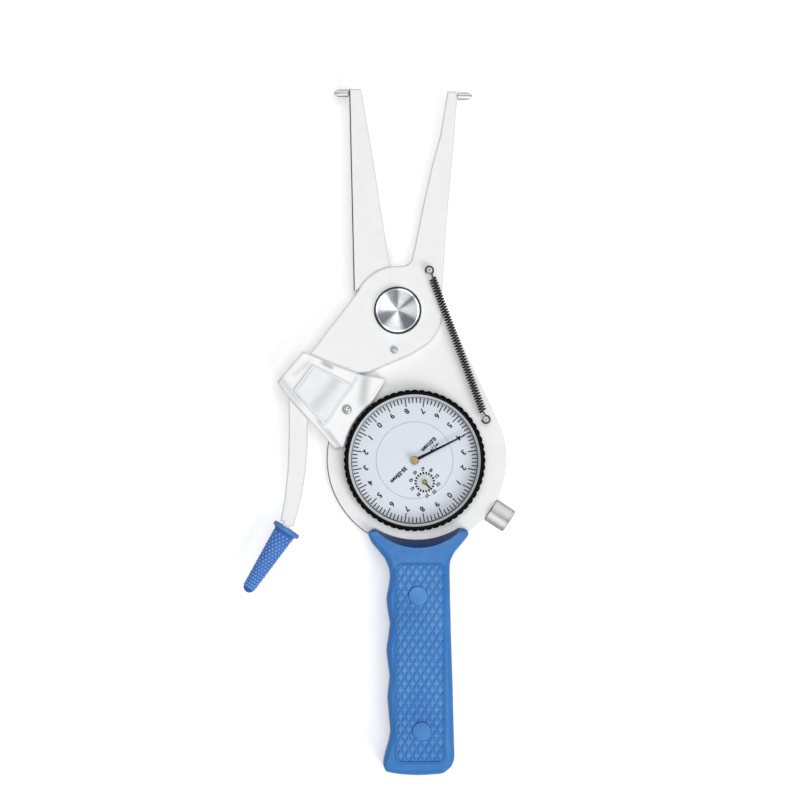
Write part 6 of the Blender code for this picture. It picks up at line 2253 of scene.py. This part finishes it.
@dataclass
class ThumbGrip:
    """The rubber grip on the lever, with its rolled flange and raised dots."""

    root: Flat = (-43.57 * MM, -86.13 * MM)
    heading: float = math.radians(-122.9)
    level: float = 11.8 * MM
    start: float = 0.9 * MM
    length: float = 30.3 * MM
    flange_radius: float = 5.8 * MM
    flange: float = 1.7 * MM
    wide: float = 4.25 * MM
    narrow: float = 2.35 * MM
    dots_round: int = 13
    dot_pitch: float = 1.27 * MM
    dot_radius: float = 0.55 * MM
    dot_height: float = 0.28 * MM
    dots_from: float = 2.0 * MM
    dots_end: float = 1.8 * MM
    flange_round: float = 0.35 * MM
    fillet: float = 1.2 * MM
    fillet_rise: float = 0.7 * MM
    oval: float = 0.94
    flange_highlight: float = 0.3
    dot_points: int = 10
    fine: int = 160

    # Distances from the root in millimetres.
    STATIONS = (0.0, 0.08, 0.3, 0.6, 0.85, 1.1, 1.4, 1.62, 1.7)
    FINE_START = 1.72 * MM
    FINE_TRIM = 1.75 * MM

    def radius_at(self, along: float) -> float:
        """Return the grip's radius at a distance from its root.

        Args:
            along: Distance in metres.

        Returns:
            The radius before the dots.
        """
        if along < self.flange:
            share = along / self.flange
            return self.flange_radius - self.flange_round * (2 * share - 1) ** 4
        start = self.length - self.narrow
        if along < self.flange + self.fillet:
            share = (along - self.flange) / self.fillet
            return self.wide + (1 - math.sin(math.pi / 2 * share)) * self.fillet_rise
        if along < start:
            share = (along - self.flange) / (start - self.flange)
            return self.wide + (self.narrow - self.wide) * share
        share = min((along - start) / self.narrow, 1.0)
        return self.narrow * math.sqrt(max(1 - share * share, 0))

    def dot(self, along: float, turn: float) -> float:
        """Return how far a dot raises the surface at a point.

        Args:
            along: Distance from the root.
            turn: Angle round the axis.

        Returns:
            The height in metres.
        """
        first = self.flange + self.dots_from
        row = round((along - first) / self.dot_pitch)
        if row < 0 or first + row * self.dot_pitch > self.length - self.dots_end:
            return 0.0
        shift = 0.5 if row % 2 else 0.0
        column = round(turn / TAU * self.dots_round - shift) + shift
        across = (turn - column * TAU / self.dots_round) * self.radius_at(along)
        away = math.hypot(across, along - first - row * self.dot_pitch) / self.dot_radius
        return self.dot_height * math.sqrt(max(1 - away * away, 0))

    def build(self) -> list[str]:
        """Loft the grip with its dots.

        Returns:
            The names of the pieces.
        """
        columns = self.dots_round * self.dot_points
        stretch = self.length - self.FINE_TRIM
        stations = [station * MM for station in self.STATIONS]
        stations += [self.FINE_START + stretch * step / self.fine for step in range(self.fine + 1)]
        place = lying((*polar(self.root, self.start, self.heading), self.level), self.heading)
        rings = []
        for along in stations:
            ring = []
            for step in range(columns):
                turn = TAU * step / columns
                x, y = polar((0, 0), self.radius_at(along) + self.dot(along, turn), turn)
                ring.append(place @ Vector((x, y * self.oval, along)))
            rings.append(ring)
        grip = Maker.lofted("thumb_grip_dotted", rings)
        raised = grip.data.attributes.new("raised", "FLOAT", "POINT")
        back = place.inverted()
        for vertex, value in zip(grip.data.vertices, raised.data):
            spot = back @ vertex.co
            dot = self.dot(spot.z, math.atan2(spot.y, spot.x)) / self.dot_height
            # The flange and the dots get a painted highlight through this value.
            value.value = self.flange_highlight if spot.z < self.flange else dot
        settle(grip, Body.ARM, GRIP_BLUE, ("thumb_grip",))
        return [grip.name]


@dataclass
class Movement:
    """The geared movement behind the dial and the rear screws."""

    brasses: tuple[str, ...] = ("movement_plate", "movement_bridge", "movement_pillar_1", "movement_pillar_2",
                                "movement_pillar_3", "counter_arbor")
    steels: tuple[str, ...] = ("centre_arbor", "sector_lever")
    rear_screws: int = 4

    def build(self) -> list[str]:
        """Dress the movement and turn the rear screws.

        Returns:
            The names of the pieces.
        """
        names = dress(MOVEMENT_BRASS, *self.brasses) + dress(STEEL, *self.steels)
        for index in range(1, self.rear_screws + 1):
            screw = ScrewHead(f"rear_cover_screw_{index}", Body.FRAME, head_radius=1.6 * MM,
                              head_height=0.6 * MM, shank_radius=1.0 * MM, front=False)
            names.append(screw.build().name)
        return names


@dataclass
class Studio:
    """Pale floor, soft lights and the camera."""

    middle: Flat = (0.92 * MM, -35.76 * MM)
    plane: float = 10.0 * MM
    view_width: float = 320.0 * MM
    lens: float = 150.0
    sensor: float = 36.0
    clip: Flat = (10.0 * MM, 20000.0 * MM)
    world_level: float = 0.22
    floor_half: float = 1600.0 * MM
    floor_level: float = -0.1 * MM
    glow: float = 0.32

    # Place, side and light level of each lamp, in millimetres.
    LAMPS = {"key_softbox": ((720, -800, 1100), 700, 0.37), "top_softbox": ((100, 100, 1900), 1200, 0.54)}

    def world(self) -> None:
        """Make the white surroundings."""
        world = bpy.data.worlds.new("studio_white")
        bpy.context.scene.world = world
        world.use_nodes = True
        graph = NodeGraph(world.node_tree)
        background = graph.nodes["Background"].inputs
        graph.feed(background["Color"], (1, 1, 1, 1))
        level = graph.calc("MULTIPLY_ADD", graph.seen(), 1 - self.world_level, self.world_level)
        graph.feed(background["Strength"], level)

    def floor(self) -> Piece:
        """Lay the pale floor that keeps the shadow.

        Returns:
            The floor.
        """
        half = self.floor_half
        corners = at_level([(-half, -half), (half, -half), (half, half), (-half, half)], self.floor_level)
        floor = Maker.mesh("studio_floor", corners, [(0, 1, 2, 3)], False)
        graph = SurfaceGraph("studio_floor_white")
        graph.set("Base Color", graph.mix(graph.noise(20), (244, 244, 244), (246, 246, 246)))
        graph.set("Roughness", 0.9)
        graph.set("Specular IOR Level", 0.0)
        lit = graph.shader.outputs[0]
        glow = graph.add("Emission", {"Strength": self.glow}).outputs[0]
        total = graph.add("AddShader", {0: lit, 1: glow}).outputs[0]
        chosen = graph.add("MixShader", {0: graph.seen(), 1: lit, 2: total}).outputs[0]
        graph.feed(graph.nodes["Material Output"].inputs["Surface"], chosen)
        floor.data.materials.append(graph.material)
        return floor
        return floor

    def lamp(self, name: str, place: Sequence[float], size: float, level: float) -> Piece:
        """Hang a soft area lamp that looks at the gauge.

        Args:
            name: Name of the lamp.
            place: Its place in metres.
            size: Side of its square.
            level: Light level that it gives on a face turned to it.

        Returns:
            The lamp.
        """
        data = bpy.data.lights.new(name, "AREA")
        data.shape = "SQUARE"
        data.size = size
        target = Vector((self.middle[0], self.middle[1], self.plane))
        gap = (Vector(place) - target).length
        data.energy = level * math.pi * math.pi * gap * gap
        lamp = bpy.data.objects.new(name, data)
        bpy.context.scene.collection.objects.link(lamp)
        lamp.location = place
        lamp.rotation_euler = (target - Vector(place)).to_track_quat("-Z", "Y").to_euler()
        return lamp

    def camera(self) -> Piece:
        """Set the camera straight over the dial, as in the photograph.

        Returns:
            The camera.
        """
        data = bpy.data.cameras.new("photo_camera")
        data.lens = self.lens
        data.sensor_width = self.sensor
        data.clip_start, data.clip_end = self.clip
        camera = bpy.data.objects.new("photo_camera", data)
        bpy.context.scene.collection.objects.link(camera)
        distance = self.lens / self.sensor * self.view_width
        camera.location = (*self.middle, self.plane + distance)
        bpy.context.scene.camera = camera
        return camera

    def build(self) -> list[str]:
        """Set up the studio.

        Returns:
            The names of its pieces.
        """
        self.world()
        lamps = []
        for name, (place, size, level) in self.LAMPS.items():
            lamps.append(self.lamp(name, [part * MM for part in place], size * MM, level))
        bpy.context.scene.view_settings.view_transform = "Standard"
        return [self.floor().name, *(lamp.name for lamp in lamps), self.camera().name]


def main() -> None:
    """Build every sub-assembly in order and report its pieces."""
    logging.basicConfig(level=logging.INFO, format="%(name)s: %(message)s")
    assemblies = (
        PaintedCastings(), ContactPins(), PivotSet(), LeverGuard(), DialFace(), BezelSet(), Hands(),
        ClampKnob(), ReturnSpring(), Handle(), ThumbGrip(), Movement(), Studio(),
    )
    for assembly in assemblies:
        names = assembly.build()
        LOG.info("%s: %s", type(assembly).__name__, ", ".join(names))


if __name__ == "__main__":
    main()
